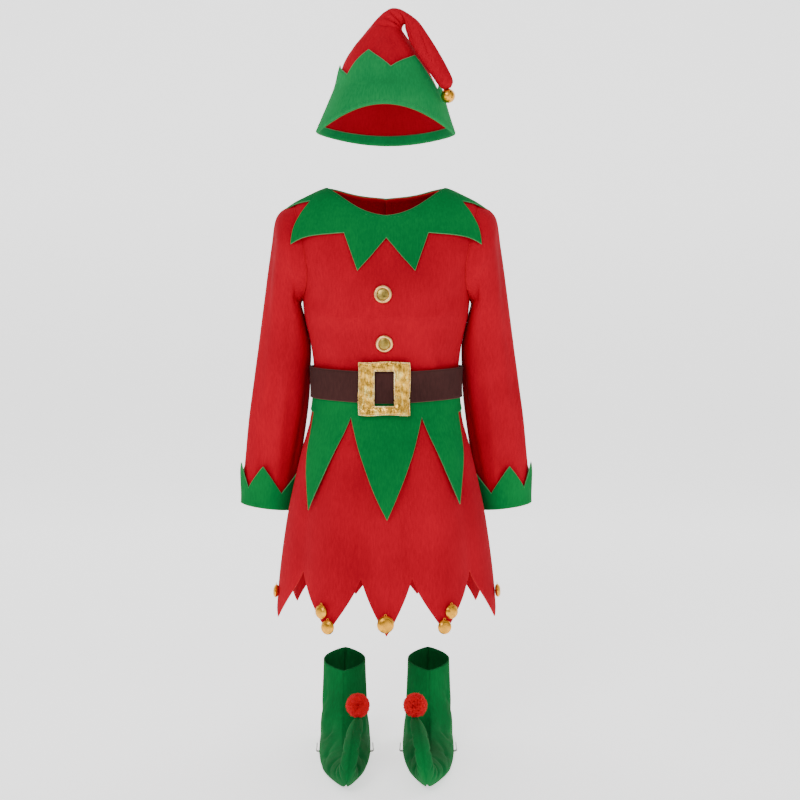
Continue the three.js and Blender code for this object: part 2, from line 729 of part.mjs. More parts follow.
// Bells: the hem bells are pressed flat and sewn on just outside the cloth, and the hat bell is round.
const BELL_PROFILE = table('radius height', [
  [0, -1],
  [0.62, -0.8],
  [0.95, -0.3],
  [1, -0.06],
  [1, 0.06],
  [0.95, 0.3],
  [0.62, 0.8],
  [0, 1],
]);
function addBell(name, centre, radius, out, share) {
  const profile = BELL_PROFILE.map((row) => new THREE.Vector2(row.radius * radius, row.height * radius * share));
  const mesh = add(name, new THREE.LatheGeometry(profile, 16), BRASS);
  mesh.position.copy(centre);
  mesh.quaternion.setFromUnitVectors(point(0, 1, 0), out);
}
const BELL_SHARE = 0.42;
const HEM_BELLS = table('name angle z radius clear', [
  ['bell_centre', -1, -614, 12, -0.1],
  ['bell_left_upper', 40, -600, BELL_RADIUS, -0.8],
  ['bell_left_lower', 35.5, -620.5, BELL_RADIUS, 0.1],
  ['bell_right_upper', -40, -600, BELL_RADIUS, -0.4],
  ['bell_right_lower', -35.5, -620.5, BELL_RADIUS, -0.8],
  ['bell_left_side', 83, -590, BELL_RADIUS, -0.9],
  ['bell_right_side', -83, -590, BELL_RADIUS, 0.55],
]);
for (const bell of HEM_BELLS) {
  const out = normalOf(lowerPoint, bell.angle, bell.z);
  const away = bell.radius * BELL_SHARE + CLOTH / 2 + bell.clear;
  addBell(bell.name, lowerPoint(bell.angle, bell.z).addScaledVector(out, away), bell.radius, out, BELL_SHARE);
}

// Hat: angle 0 is the front, 90 the wearer's left; the row counts up from the rim to the tail.
function hatPoint(angle, row) {
  const s = smoothRow(HAT, row);
  const across = Math.sin(radians(angle));
  const ahead = Math.cos(radians(angle));
  const tilt = Math.abs(ahead) ** 2.5 * (ahead > 0 ? s.rise : -s.drop);
  return point(
    (s.leftX + s.rightX) / 2 + across * (s.rightX - s.leftX) / 2,
    s.midY - s.halfDepth * ahead,
    (s.leftZ + s.rightZ) / 2 + across * (s.rightZ - s.leftZ) / 2 + tilt,
  );
}
const HAT_ROWS = steps(0, HAT.length - 1, HAT.length - 1);
add('hat_front', cloth(hatPoint, steps(-90, 90, 10), HAT_ROWS, { seamSides: true }), RED);
add('hat_back', cloth(hatPoint, steps(90, 270, 10), HAT_ROWS, { seamSides: true }), RED);

const BAND_BELOW = -0.12;
const bandPoint = (angle, up) => {
  const top = edgeAt(BAND_EDGE, 'angle', angle, 'row');
  const stand = edgeAt(BAND_EDGE, 'angle', angle, 'stand');
  const away = THREE.MathUtils.lerp(LAYER, Math.max(stand, LAYER), Math.max(up, 0) ** 1.5);
  return movedOut(hatPoint, away, 1)(angle, THREE.MathUtils.lerp(BAND_BELOW, top, up));
};
const bandAngles = edgeColumns(BAND_EDGE, 'angle', 3).slice(0, -1);
add('hat_band', cloth(bandPoint, bandAngles, steps(0, 1, 5), { ring: true }), GREEN);
addBell('bell_hat', point(88.5, -35, 131.4), BELL_RADIUS, point(0, -1, 0), 1);

// Shoe covers. The place round a section is 0 on the instep seam and 1 or -1 on the heel seam or the
// sole edge; positive places lie towards the other shoe.
function shoePoint(place, row) {
  const s = smoothRow(SHOE, row);
  const open = THREE.MathUtils.clamp(s.open, 0, 1);
  const fold = Math.abs(place) > 1 ? 2 - Math.abs(place) : Math.abs(place);
  const down = open > 0 ? Math.abs(place) : fold;
  const side = Math.sign(place) * (Math.abs(place) > 1 && open === 0 ? -1 : 1);
  const bulge = Math.sin(Math.PI * down * (1 - open / 2)) ** 0.8;
  return point(
    s.shift + side * s.halfWidth * bulge,
    THREE.MathUtils.lerp(s.topY, s.lowY, down),
    THREE.MathUtils.lerp(s.topZ, s.lowZ, down),
  );
}
const SHOE_ROWS = steps(0, SHOE.length - 1, SHOE.length - 1);
const SIDE_PLACES = steps(0, 1, 7);
const rightShoe = (surface) => (u, v) => surface(u, v).add(point(-SHOE_X, 0, 0));
const shoeSide = (surface, places) => cloth(surface, places, SHOE_ROWS, { seamSides: true });

// Elastic that passes under the foot and is sewn to both sides of the sole edge.
const STRAP_Y = -50;
const STRAP_WIDTH = 6;
const STRAP_WALL = 1.2;
const STRAP_PATH = table('x z', [
  [-39.2, -811],
  [-39.8, -818],
  [-38.9, -822.8],
  [-22, -823],
  [24.2, -823],
  [42.2, -822.8],
  [43.1, -818],
  [42.5, -811],
]);
function strapPoint(across, row) {
  const s = smoothRow(STRAP_PATH, row);
  return point(s.x - SHOE_X, STRAP_Y + (across - 0.5) * STRAP_WIDTH, s.z);
}
const strapCloth = (surface) => cloth(surface, [0, 1], steps(0, STRAP_PATH.length - 1, STRAP_PATH.length - 1), { wall: STRAP_WALL });

// Pompom: a core with a three-sided lock standing on each of its faces.
const POMPOM_CENTRE = { x: 22 - SHOE_X, y: -104, z: -737.3 };
const LOCK_FOOT = 0.8;
function pompom(side) {
  const core = new THREE.IcosahedronGeometry(POMPOM_CORE, 1).getAttribute('position');
  const positions = [];
  const faces = [];
  const shared = new Map();
  const sharedIndex = (p) => {
    const label = p.toArray().map((n) => n.toFixed(3)).join();
    if (!shared.has(label)) {
      shared.set(label, positions.push(p) - 1);
    }
    return shared.get(label);
  };
  for (let i = 0; i < core.count; i += 3) {
    const corners = [0, 1, 2].map((k) => new THREE.Vector3().fromBufferAttribute(core, i + k));
    const centre = corners[0].clone().add(corners[1]).add(corners[2]).divideScalar(3);
    const base = corners.map(sharedIndex);
    const foot = corners.map((p) => positions.push(centre.clone().lerp(p, LOCK_FOOT)) - 1);
    const tip = positions.push(centre.clone().setLength(POMPOM_RADIUS)) - 1;
    for (let k = 0; k < 3; k += 1) {
      const next = (k + 1) % 3;
      faces.push([base[k], base[next], foot[next]], [base[k], foot[next], foot[k]], [foot[k], foot[next], tip]);
    }
  }
  const centre = point(side * POMPOM_CENTRE.x, POMPOM_CENTRE.y, POMPOM_CENTRE.z);
  return bodyOf(positions.map((p) => p.add(centre)), faces);
}

add('shoe_right_inner', shoeSide(rightShoe(shoePoint), SIDE_PLACES), GREEN);
add('shoe_right_outer', shoeSide(rightShoe(shoePoint), SIDE_PLACES.map((p) => -p)), GREEN);
add('shoe_left_inner', shoeSide(mirrored(rightShoe(shoePoint)), SIDE_PLACES), GREEN);
add('shoe_left_outer', shoeSide(mirrored(rightShoe(shoePoint)), SIDE_PLACES.map((p) => -p)), GREEN);
add('strap_right', strapCloth(strapPoint), ELASTIC);
add('strap_left', strapCloth(mirrored(strapPoint)), ELASTIC);
add('pompom_right', pompom(1), POMPOM);
add('pompom_left', pompom(-1), POMPOM);

export default costume;
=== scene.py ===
"""Elf costume: finished cloth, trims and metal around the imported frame.

The front of the garment faces -Y and the wearer's left is +X. Tables are in millimetres and degrees,
and every finished mesh is in metres.
"""
import math
import random

import bmesh
import bpy
from mathutils import Matrix, Vector, geometry
from mathutils.kdtree import KDTree


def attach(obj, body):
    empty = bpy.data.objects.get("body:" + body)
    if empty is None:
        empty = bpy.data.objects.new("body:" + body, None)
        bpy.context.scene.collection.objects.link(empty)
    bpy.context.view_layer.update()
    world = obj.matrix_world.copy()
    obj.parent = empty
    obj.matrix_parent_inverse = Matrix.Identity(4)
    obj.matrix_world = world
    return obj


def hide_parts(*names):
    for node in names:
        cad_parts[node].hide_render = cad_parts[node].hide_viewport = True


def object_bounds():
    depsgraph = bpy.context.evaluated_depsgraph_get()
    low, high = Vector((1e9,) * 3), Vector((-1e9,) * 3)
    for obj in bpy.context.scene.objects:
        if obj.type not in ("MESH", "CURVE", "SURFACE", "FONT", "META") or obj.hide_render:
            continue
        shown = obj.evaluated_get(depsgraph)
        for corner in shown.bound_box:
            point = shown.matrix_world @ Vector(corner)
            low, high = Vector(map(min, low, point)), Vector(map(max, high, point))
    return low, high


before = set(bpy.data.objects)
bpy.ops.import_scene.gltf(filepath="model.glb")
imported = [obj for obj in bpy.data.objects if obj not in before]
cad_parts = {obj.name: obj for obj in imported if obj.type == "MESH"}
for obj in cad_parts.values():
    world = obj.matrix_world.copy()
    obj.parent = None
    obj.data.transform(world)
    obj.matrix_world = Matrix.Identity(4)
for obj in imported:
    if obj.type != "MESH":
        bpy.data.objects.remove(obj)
CAD_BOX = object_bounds()

bl_info = {
    "name": "Elf costume",
    "version": (1, 0, 0),
    "blender": (4, 5, 0),
    "location": "View3D > Sidebar > Elf costume",
    "description": "Finishes the cloth, trims, bells and pompoms of an elf costume",
    "category": "Object",
}

MM = 0.001
MERGE = 1e-6
SEAM_SPREAD = 0.0022
LOOSE_RUN = 0.02
SAMPLE = 0.01
CHEST_Z = -185
CHEST_POWER = 2.5
NECK = {"half_width": 86, "front_drop": 40, "back_drop": 14, "front_y": 51, "back_y": 33}
SHOULDER_TIP = (132, -22)
ARMPIT = (120, -160)
ARMHOLE_HALF_DEPTH = 56
PANEL_LEVELS = [CHEST_Z, -225, -268, -312, -345, -380, -430, -485, -535]
BELT_TOP_Z = -261
BELT_RISE = 5
BELT_HEIGHT = 46
PEPLUM_TOP_Z = -296
SHOE_X = 63
FOLDS_FROM = 345
FOLDS_FULL = 600


def table(names, rows):
    """Rows of a table as dictionaries with the column names."""
    columns = names.split()
    return [dict(zip(columns, row)) for row in rows]


# Height, half width, half depths and squareness of the dress from the chest to the hem.
DRESS_RINGS = table("z half_width front back power", [
    (-185, 119, 82, 80, CHEST_POWER), (-225, 110, 77, 75, 2.4), (-272, 105, 73, 71, 2.3),
    (-312, 106, 74, 72, 2.25), (-345, 114, 82, 80, 2.2), (-380, 124, 92, 90, 2.2),
    (-425, 134, 99, 98, 2.2), (-472, 143, 106, 105, 2.2), (-526, 150, 112, 111, 2.2),
    (-575, 155, 117, 116, 2.2), (-640, 160, 122, 121, 2.2),
])

# Front outline above the chest, seen from the middle of the chest: elevation, reach of the dress
# body alone, reach with the sleeve heads on it, and half depth.
SHOULDER_RINGS = table("angle body covered depth", [
    (-8, 118, 150, 81), (0, 119, 160, 82), (20, 131, 178, 80), (31, 152, 196, 78),
    (38, 176, 206, 76), (44, 197, 213, 74), (50.6, 210, 211.5, 72), (57, 207.5, 208, 71),
    (65.4, 204, 204.5, 70), (76, 192.5, 193, 68), (90, 186.5, 187, 68),
])

# Hem of one half of the dress, from the centre front to the centre back.
HEM = table("angle z", [
    (0, -632), (18.7, -552), (36, -628), (60.4, -549), (79.5, -626), (98.4, -550), (118, -626),
    (136, -550), (158, -627), (180, -551),
])
SIDE_SEAM_ROW = 5

# Soft folds of the skirt: angle, spread in degrees, depth at the hem.
SKIRT_FOLDS = table("angle spread depth", [
    (-4, 9, 5), (19, 7, -6), (37, 10, 6), (61, 8, -7), (83, 8, 5), (101, 8, -6), (121, 10, 6),
    (138, 8, -6), (159, 10, 5), (180, 7, -5), (-20, 7, -6), (-35, 9, 7), (-59, 8, -6), (-80, 9, 4),
    (-99, 8, -7), (-117, 9, 6), (-135, 8, -5), (-157, 10, 6),
])

# Sleeve sections from the armhole to the wrist: outer edge, inner edge, half depth, middle in Y.
SLEEVE = table("out_x out_z in_x in_z half_depth mid_y", [
    (136, -23, 124.5, -162, 56, 0), (151, -29.5, 126, -166, 55, 1),
    (161.5, -44.5, 125, -172, 52, 2), (167.5, -81, 122, -183, 48, 5),
    (174, -122, 117.6, -202, 44, 9), (181, -170, 112.6, -228, 41, 14),
    (189, -225, 113.5, -262, 38, 20), (198, -285, 116, -304, 36, 28),
    (206, -340, 122, -350, 35, 35), (212, -392, 130, -400, 35, 42), (217, -436, 138, -445, 36, 49),
    (219, -464, 141, -474, 37, 52),
])

# Upper edge of a turned-up cuff: angle round the sleeve from its outer side, height over the wrist.
CUFF_EDGE = table("angle rise", [
    (22, 75), (48, 40), (77, 76), (119, 37), (150, 73), (178, 39), (205, 74), (235, 40), (265, 75),
    (296, 40), (326, 75), (354, 42), (382, 75),
])

# Outer edge of half the collar: place round the neck, the edge point seen from the front, and the
# side that it lies on, -1 for the front and 1 for the back.
COLLAR_EDGE = table("neck_angle x z side", [
    (0, 0, -72, -1), (15, 41, -119, -1), (27, 60, -65, -1), (43, 135, -81, -1), (81, 107, -19, -1),
    (90, 146, -31, 0), (99, 107, -17, 1), (137, 133, -84, 1), (152, 60, -50, 1), (166, 46, -104, 1),
    (180, 5, -52, 1),
])

# Lower edge of the skirt panel under the belt, all round.
PEPLUM_EDGE = table("angle z", [
    (-180, -462), (-150, -328), (-121, -458), (-99, -318), (-76, -324), (-57, -461), (-35, -327),
    (0, -470), (35, -327), (53, -452), (75, -324), (99, -318), (121, -456), (149, -328),
    (180, -462),
])

# Hat sections from the rim to the end of the tail.
HAT = table("left_x left_z right_x right_z rise drop half_depth mid_y", [
    (-99, 88, 98, 86, 32, 9, 75, 12), (-90, 107.5, 90, 107.5, 23, 5, 73, 11),
    (-80, 129, 83, 126.5, 15, 2, 68, 9), (-71, 149.5, 76, 144, 8, 0, 61, 7),
    (-62, 181, 58, 179, 3, 0, 51, 5), (-47.5, 204.5, 45, 200.5, 1, 0, 41, 3),
    (-34, 220.5, 34, 214, 0, 0, 31, 1), (-22, 235, 27, 223, 0, 0, 23, -1),
    (-10, 247.5, 23.5, 227.5, 0, 0, 17, -4), (0, 255.5, 23, 231, 0, 0, 14, -7),
    (9, 258.5, 24.5, 235, 0, 0, 12, -10), (20, 256.5, 28, 237, 0, 0, 11, -13),
    (31, 250, 28, 231, 0, 0, 10.5, -17), (40, 243, 30, 222, 0, 0, 10, -21.5),
    (48.5, 234, 33.5, 211, 0, 0, 9.5, -27), (61, 215, 41, 197, 0, 0, 9.5, -32),
    (73, 196, 50.5, 181, 0, 0, 9.5, -34), (85.5, 174, 63, 163.5, 0, 0, 9, -35),
    (95, 153.5, 75.5, 146.5, 0, 0, 8, -35), (92.5, 143.5, 83, 140.5, 0, 0, 3.2, -35),
])

# Upper edge of the hat band: angle round the hat, height in rows of the hat table, stand-off.
BAND_EDGE = table("angle row stand", [
    (-180, 2.1, 3), (-145, 3.0, 15), (-116, 2.1, 5), (-84, 3.9, 4), (-52, 3.35, 2.5), (-24, 4.5, 3),
    (5.5, 3.55, 2.5), (47, 4.3, 3.5), (66, 2.85, 3), (92, 3.45, 7), (120, 2.4, 4), (150, 3.3, 6),
    (180, 2.1, 3),
])

# Shoe cover sections from the ankle to the end of the curled toe.
SHOE = table("top_y top_z low_y low_z half_width open shift", [
    (-39, -705, 31, -688, 30.5, 0, 0), (-41, -727, 32, -725, 31.5, 0, 0),
    (-46, -754, 33, -762, 33, 0, 0), (-55, -773, 33, -797, 35, 0.3, 0),
    (-69, -786, 22, -822, 37, 1, 0), (-91, -793, -22, -822, 37.5, 1, 1),
    (-117, -796, -73, -822, 36, 1, 2), (-146, -796, -135, -822, 29, 0.8, 3),
    (-174, -793, -193, -821, 17, 0.2, 6), (-187, -785, -222, -809, 11.5, 0, 9),
    (-185, -777, -228, -788, 10.5, 0, 12), (-168, -773, -203, -762, 10.5, 0, 15),
    (-140, -771, -154, -752, 10, 0, 18), (-113, -768, -116, -752, 7.5, 0, 21),
    (-101, -763, -102, -754.5, 4.5, 0, 22),
])


# Surfaces. Each takes two parameters and returns a place in millimetres.
def lerp(start, end, t):
    """Straight value between two numbers."""
    return start + (end - start) * t


def clamp(value, low=0.0, high=1.0):
    """Value held between two limits."""
    return min(max(value, low), high)


def smoothstep(value, low, high):
    """Smooth rise from 0 at low to 1 at high."""
    t = clamp((value - low) / (high - low))
    return t * t * (3 - 2 * t)


def bell_curve(value, centre, spread):
    """Smooth bump of height 1 round a centre."""
    return math.exp(-(((value - centre) / spread) ** 2))


def turned(angle, other):
    """Difference of two angles in degrees, between -180 and 180."""
    return (angle - other + 180) % 360 - 180


def smooth_row(rows, value, key=None):
    """Smooth value of every column at a key column or at a row number."""
    keys = [row[key] for row in rows] if key else list(range(len(rows)))
    rising = keys[1] > keys[0]
    i = 0
    while i < len(rows) - 2 and (keys[i + 1] < value if rising else keys[i + 1] > value):
        i += 1
    span = keys[i + 1] - keys[i]
    t = (value - keys[i]) / span
    before = max(i - 1, 0)
    after = min(i + 2, len(rows) - 1)
    cubic = 2 * t ** 3 - 3 * t ** 2
    leave = t ** 3 - 2 * t ** 2 + t
    arrive = t ** 3 - t ** 2
    result = {}
    for name, start in rows[i].items():
        end = rows[i + 1][name]
        if 0 <= t <= 1:
            slope_in = (end - rows[before][name]) / (keys[i + 1] - keys[before]) * span
            slope_out = (rows[after][name] - start) / (keys[after] - keys[i]) * span
            result[name] = (1 + cubic) * start - cubic * end + leave * slope_in + arrive * slope_out
        else:
            result[name] = start + (end - start) * t
    return result


def between_rows(rows, key, value):
    """The two rows that a value lies between, and how far along it is."""
    i = 0
    while i < len(rows) - 2 and rows[i + 1][key] < value:
        i += 1
    start, end = rows[i:i + 2]
    return start, end, clamp((value - start[key]) / (end[key] - start[key]))


def edge_columns(rows, key, between):
    """Places with the same number of columns between successive rows."""
    places = []
    for row, after in zip(rows, rows[1:]):
        places += [lerp(row[key], after[key], k / between) for k in range(between)]
    return places + [rows[-1][key]]


def steps(start, end, count):
    """Evenly spaced values, both ends included."""
    return [start + (end - start) * i / count for i in range(count + 1)]


def between_edges(section, first, second, share, tilt=0.0):
    """A place on a section between two edges seen from the front; share runs from -1 to 1."""
    spot = []
    for axis in ("_x", "_z"):
        start, end = section[first + axis], section[second + axis]
        spot.append((start + end) / 2 + share * (end - start) / 2)
    return spot[0], spot[1] + tilt


def normal_of(surface, u, v):
    """Unit normal of a surface."""
    along = surface(u + SAMPLE, v) - surface(u - SAMPLE, v)
    down = surface(u, v + SAMPLE) - surface(u, v - SAMPLE)
    return along.cross(down).normalized()


def moved_out(surface, distance, side):
    """A surface moved along its normal by a number or by a function of the place."""
    def moved(u, v):
        away = distance(u, v) if callable(distance) else distance
        return surface(u, v) + normal_of(surface, u, v) * (away * side)
    return moved


def mirrored(surface):
    """A surface seen in the mirror across the middle of the costume."""
    def flipped(u, v):
        p = surface(u, v)
        return Vector((-p.x, p.y, p.z))
    return flipped


def waves(rows, angle):
    """Folds round a piece at an angle, all added up."""
    return sum(row["depth"] * bell_curve(turned(angle, row["angle"]), 0, row["spread"]) for row in rows)


def fold_depth(angle, z):
    """How far the skirt folds stand out at a place."""
    flow = smoothstep(-z, FOLDS_FROM, FOLDS_FULL)
    return flow * waves(SKIRT_FOLDS, angle) if flow else 0.0


def lower_point(angle, z):
    """The dress from the chest down; the angle is 0 at the front and grows to the wearer's left."""
    ring = smooth_row(DRESS_RINGS, z, "z")
    across = math.sin(math.radians(angle))
    ahead = math.cos(math.radians(angle))
    depth = (ring["front"] + ring["back"]) / 2 + (ring["front"] - ring["back"]) / 2 * ahead
    power = ring["power"]
    total = abs(across / ring["half_width"]) ** power + abs(ahead / depth) ** power
    reach = total ** (-1 / power) + fold_depth(angle, z)
    return Vector((reach * across, -reach * ahead, z))


def upper_point(direction, column):
    """The dress above the chest, along a direction from the middle of the chest."""
    x, y, z = direction
    flat = math.hypot(x, z)
    reach = smooth_row(SHOULDER_RINGS, math.degrees(math.atan2(z, abs(x))), "angle")[column]
    depth = smooth_row(SHOULDER_RINGS, math.degrees(math.asin(clamp(z, -1, 1))), "angle")["depth"]
    total = (flat / reach) ** CHEST_POWER + abs(y / depth) ** CHEST_POWER
    return direction * total ** (-1 / CHEST_POWER) + Vector((0, 0, CHEST_Z))


def direction_to(target):
    """Direction of a place from the middle of the chest."""
    return (target - Vector((0, 0, CHEST_Z))).normalized()


def neck_target(angle):
    """Place towards which the neckline lies."""
    ahead = math.cos(math.radians(angle))
    depth = NECK["front_y"] if ahead > 0 else NECK["back_y"]
    drop = NECK["front_drop"] if ahead > 0 else NECK["back_drop"]
    across = NECK["half_width"] * math.sin(math.radians(angle))
    return Vector((across, -depth * ahead, -drop * ahead * ahead))


def armhole_target(angle):
    """Armhole: 0 at the shoulder tip, 90 at the front, 180 at the armpit, 270 at the back."""
    up = (1 + math.cos(math.radians(angle))) / 2
    x = lerp(ARMPIT[0], SHOULDER_TIP[0], up)
    z = lerp(ARMPIT[1], SHOULDER_TIP[1], up)
    return Vector((x, -ARMHOLE_HALF_DEPTH * math.sin(math.radians(angle)), z))


def armhole_point(angle):
    """The armhole on the dress body."""
    return upper_point(direction_to(armhole_target(angle)), "body")


def point_edge(rows, key, value, name, tips_low=True, leaf=0.86):
    """Edge of leaf-shaped points: steep beside a notch, then easing into the tip."""
    start, end, t = between_rows(rows, key, value)
    to_tip = (end[name] < start[name]) == tips_low
    return lerp(start[name], end[name], t ** leaf if to_tip else 1 - (1 - t) ** leaf)


HEM_COLUMNS = [3, 3, 3, 3, 3, 4, 4, 3, 3]


def half_panel(hem_rows, neck_from, neck_columns, armhole_turn):
    """Columns of half a panel: where each one starts at the top and where it ends on the hem."""
    tops = [neck_target(a) for a in steps(neck_from, 90, neck_columns)]
    tops.append(neck_target(90).lerp(armhole_target(0), 0.5))
    tops += [armhole_target(a * armhole_turn) for a in steps(0, 180, 8)]
    angles = []
    for i, row in enumerate(hem_rows[:-1]):
        after = hem_rows[i + 1]["angle"]
        angles += [lerp(row["angle"], after, k / row["columns"]) for k in range(row["columns"])]
    angles.append(hem_rows[-1]["angle"])
    return [(direction_to(top), angle) for top, angle in zip(tops, angles)]


def panel_surface(columns, seam_angle):
    """A panel: u counts columns from its middle; v is 0 to 1 above the chest, 2 at the level part."""
    middle = columns[0][1]
    last = len(PANEL_LEVELS) - 1

    def surface(u, v):
        i = min(int(abs(u)), len(columns) - 2)
        t = abs(u) - i
        hem_angle = lerp(columns[i][1], columns[i + 1][1], t)
        chest_angle = middle + (hem_angle - middle) * (90 - middle) / (seam_angle - middle)
        if v <= 1:
            turn = math.radians(chest_angle)
            chest = Vector((math.sin(turn), -math.cos(turn), 0))
            top = columns[i][0].lerp(columns[i + 1][0], t)
            p = upper_point(top.lerp(chest, v).normalized(), "body")
        else:
            down = min(v - 1, 1)
            step = min(int(down * last), last - 1)
            z = lerp(PANEL_LEVELS[step], PANEL_LEVELS[step + 1], down * last - step)
            if v > 2:
                z = lerp(PANEL_LEVELS[last], point_edge(HEM, "angle", hem_angle, "z"), v - 2)
            p = lower_point(lerp(chest_angle, hem_angle, down), z)
        if u < 0:
            p.x = -p.x
        return p
    return surface


for hem_row, count in zip(HEM, HEM_COLUMNS + [0]):
    hem_row["columns"] = count
BACK_HEM = []
for hem_row, count in zip(reversed(HEM[SIDE_SEAM_ROW:]), list(reversed(HEM_COLUMNS[SIDE_SEAM_ROW:])) + [0]):
    BACK_HEM.append({"angle": hem_row["angle"], "z": hem_row["z"], "columns": count})
SEAM_ANGLE = HEM[SIDE_SEAM_ROW]["angle"]
FRONT_COLUMNS = half_panel(HEM[:SIDE_SEAM_ROW + 1], 0, 5, 1)
BACK_COLUMNS = half_panel(BACK_HEM, 180, 4, -1)
front_surface = panel_surface(FRONT_COLUMNS, SEAM_ANGLE)
back_surface = panel_surface(BACK_COLUMNS, SEAM_ANGLE)

SLEEVE_LAST = len(SLEEVE) - 1
SLEEVE_GAP = 0.9


def sleeve_point(angle, row):
    """The left sleeve: angle 0 is its outer side and 90 its front; the row counts down the arm."""
    s = smooth_row(SLEEVE, row)
    x, z = between_edges(s, "in", "out", math.cos(math.radians(angle)))
    p = Vector((x, s["mid_y"] - s["half_depth"] * math.sin(math.radians(angle)), z))
    if row < 1:
        start = armhole_point(angle)
        start.x += SLEEVE_GAP
        p = p.lerp(start, 1 - max(row, 0))
    return p


CUFF = {"row_height": 40, "stand": 2.4, "flare": 6, "hang": 0.12}


def cuff_point(angle, up):
    """A turned-up cuff over the end of the sleeve."""
    place = angle + 360 if angle < CUFF_EDGE[0]["angle"] else angle
    rise = point_edge(CUFF_EDGE, "angle", place, "rise", tips_low=False)
    row = SLEEVE_LAST + CUFF["hang"] - up * rise / CUFF["row_height"]
    away = CUFF["stand"] + CUFF["flare"] * (up * rise / CUFF_EDGE[0]["rise"]) ** 2
    return sleeve_point(angle, row) + normal_of(sleeve_point, angle, row) * away


COLLAR_LIFT = {"neck": 2.3, "edge": 3.4, "shoulder": -1.2, "spread": 24}


def front_of(x, z, side):
    """Place on the covered shoulders seen from the front at x and z."""
    near = 0.0
    far = 140.0
    while far - near > 0.05:
        y = (near + far) / 2
        inside = Vector((x, side * y, z - CHEST_Z))
        outer = upper_point(inside.normalized(), "covered") - Vector((0, 0, CHEST_Z))
        if inside.length < outer.length:
            near = y
        else:
            far = y
    return Vector((x, side * near, z))


for rim in COLLAR_EDGE:
    rim["edge"] = direction_to(front_of(rim["x"], rim["z"], rim["side"] or -1))


def collar_base(neck_angle, down):
    """The collar laid on the shoulders, from the neckline to its pointed edge."""
    place = abs(neck_angle)
    start, end, t = between_rows(COLLAR_EDGE, "neck_angle", place)
    edge = start["edge"].lerp(end["edge"], t)
    p = upper_point(direction_to(neck_target(place)).lerp(edge, down).normalized(), "covered")
    if neck_angle < 0:
        p.x = -p.x
    return p


def collar_lift(neck_angle, down):
    """How far the collar stands off the shoulders."""
    shoulder = bell_curve(abs(neck_angle), 90, COLLAR_LIFT["spread"])
    edge = COLLAR_LIFT["edge"] + COLLAR_LIFT["shoulder"] * shoulder
    return lerp(COLLAR_LIFT["neck"], edge, clamp(2 * down))


collar_point = moved_out(collar_base, collar_lift, -1)


def peplum_point(angle, down):
    """The pointed panel under the belt."""
    z = lerp(PEPLUM_TOP_Z, point_edge(PEPLUM_EDGE, "angle", angle, "z", leaf=0.97), down)
    stand = 3.6 + 3.5 * smoothstep(-z, 320, 480)
    return lower_point(angle, z) + normal_of(lower_point, angle, z) * stand


BELT_STAND = 6.7
belt_surface = moved_out(lower_point, BELT_STAND, 1)


def belt_point(angle, z):
    """The belt, a little higher at the wearer's sides."""
    return belt_surface(angle, z + BELT_RISE * math.sin(math.radians(angle)) ** 2)


def hat_point(angle, row):
    """The hat: angle 0 is the front and 90 the wearer's left; the row counts up to the tail."""
    s = smooth_row(HAT, row)
    ahead = math.cos(math.radians(angle))
    tilt = abs(ahead) ** 2.5 * (s["rise"] if ahead > 0 else -s["drop"])
    x, z = between_edges(s, "left", "right", math.sin(math.radians(angle)), tilt)
    return Vector((x, s["mid_y"] - s["half_depth"] * ahead, z))


BAND_BELOW = -0.12
BAND_LAYER = 2.3
BAND_HEM = {"away": -1.9, "row": 0.4, "turn": 0.3, "dip": 0.07}


def hem_point(angle, share):
    """The band turned in round the rim of the hat, up to the edge of its hem inside."""
    turn = clamp(share / BAND_HEM["turn"])
    rise = clamp((share - BAND_HEM["turn"] / 2) / (1 - BAND_HEM["turn"] / 2))
    row = lerp(BAND_BELOW, BAND_HEM["row"], rise) - BAND_HEM["dip"] * math.sin(math.pi * turn)
    away = lerp(BAND_LAYER, BAND_HEM["away"], smoothstep(turn, 0, 1))
    return hat_point(angle, row) + normal_of(hat_point, angle, row) * away


def band_point(angle, up):
    """The pointed band round the hat; below 0 it turns in to its hem."""
    if up < 0:
        return hem_point(angle, -up)
    top = point_edge(BAND_EDGE, "angle", angle, "row", tips_low=False)
    start, end, t = between_rows(BAND_EDGE, "angle", angle)
    away = lerp(BAND_LAYER, lerp(start["stand"], end["stand"], t), up ** 1.5)
    row = lerp(BAND_BELOW, top, up)
    return hat_point(angle, row) + normal_of(hat_point, angle, row) * away


def shoe_point(place, row):
    """The right shoe cover before it is set beside the other one; place 0 is the instep seam."""
    s = smooth_row(SHOE, row)
    opening = clamp(s["open"])
    fold = 2 - abs(place) if abs(place) > 1 else abs(place)
    down = abs(place) if opening > 0 else fold
    side = math.copysign(1, place) * (-1 if abs(place) > 1 and opening == 0 else 1)
    if place == 0:
        side = 0
    bulge = max(math.sin(math.pi * down * (1 - opening / 2)), 0) ** 0.8
    return Vector((
        s["shift"] + side * s["half_width"] * bulge - SHOE_X,
        lerp(s["top_y"], s["low_y"], down),
        lerp(s["top_z"], s["low_z"], down),
    ))


def on_front(x, z, away):
    """Place on the front of the dress below the chest, moved out."""
    low = -80.0
    high = 80.0
    while high - low > 0.002:
        angle = (low + high) / 2
        if lower_point(angle, z).x < x:
            low = angle
        else:
            high = angle
    return lower_point(low, z) + normal_of(lower_point, low, z) * away


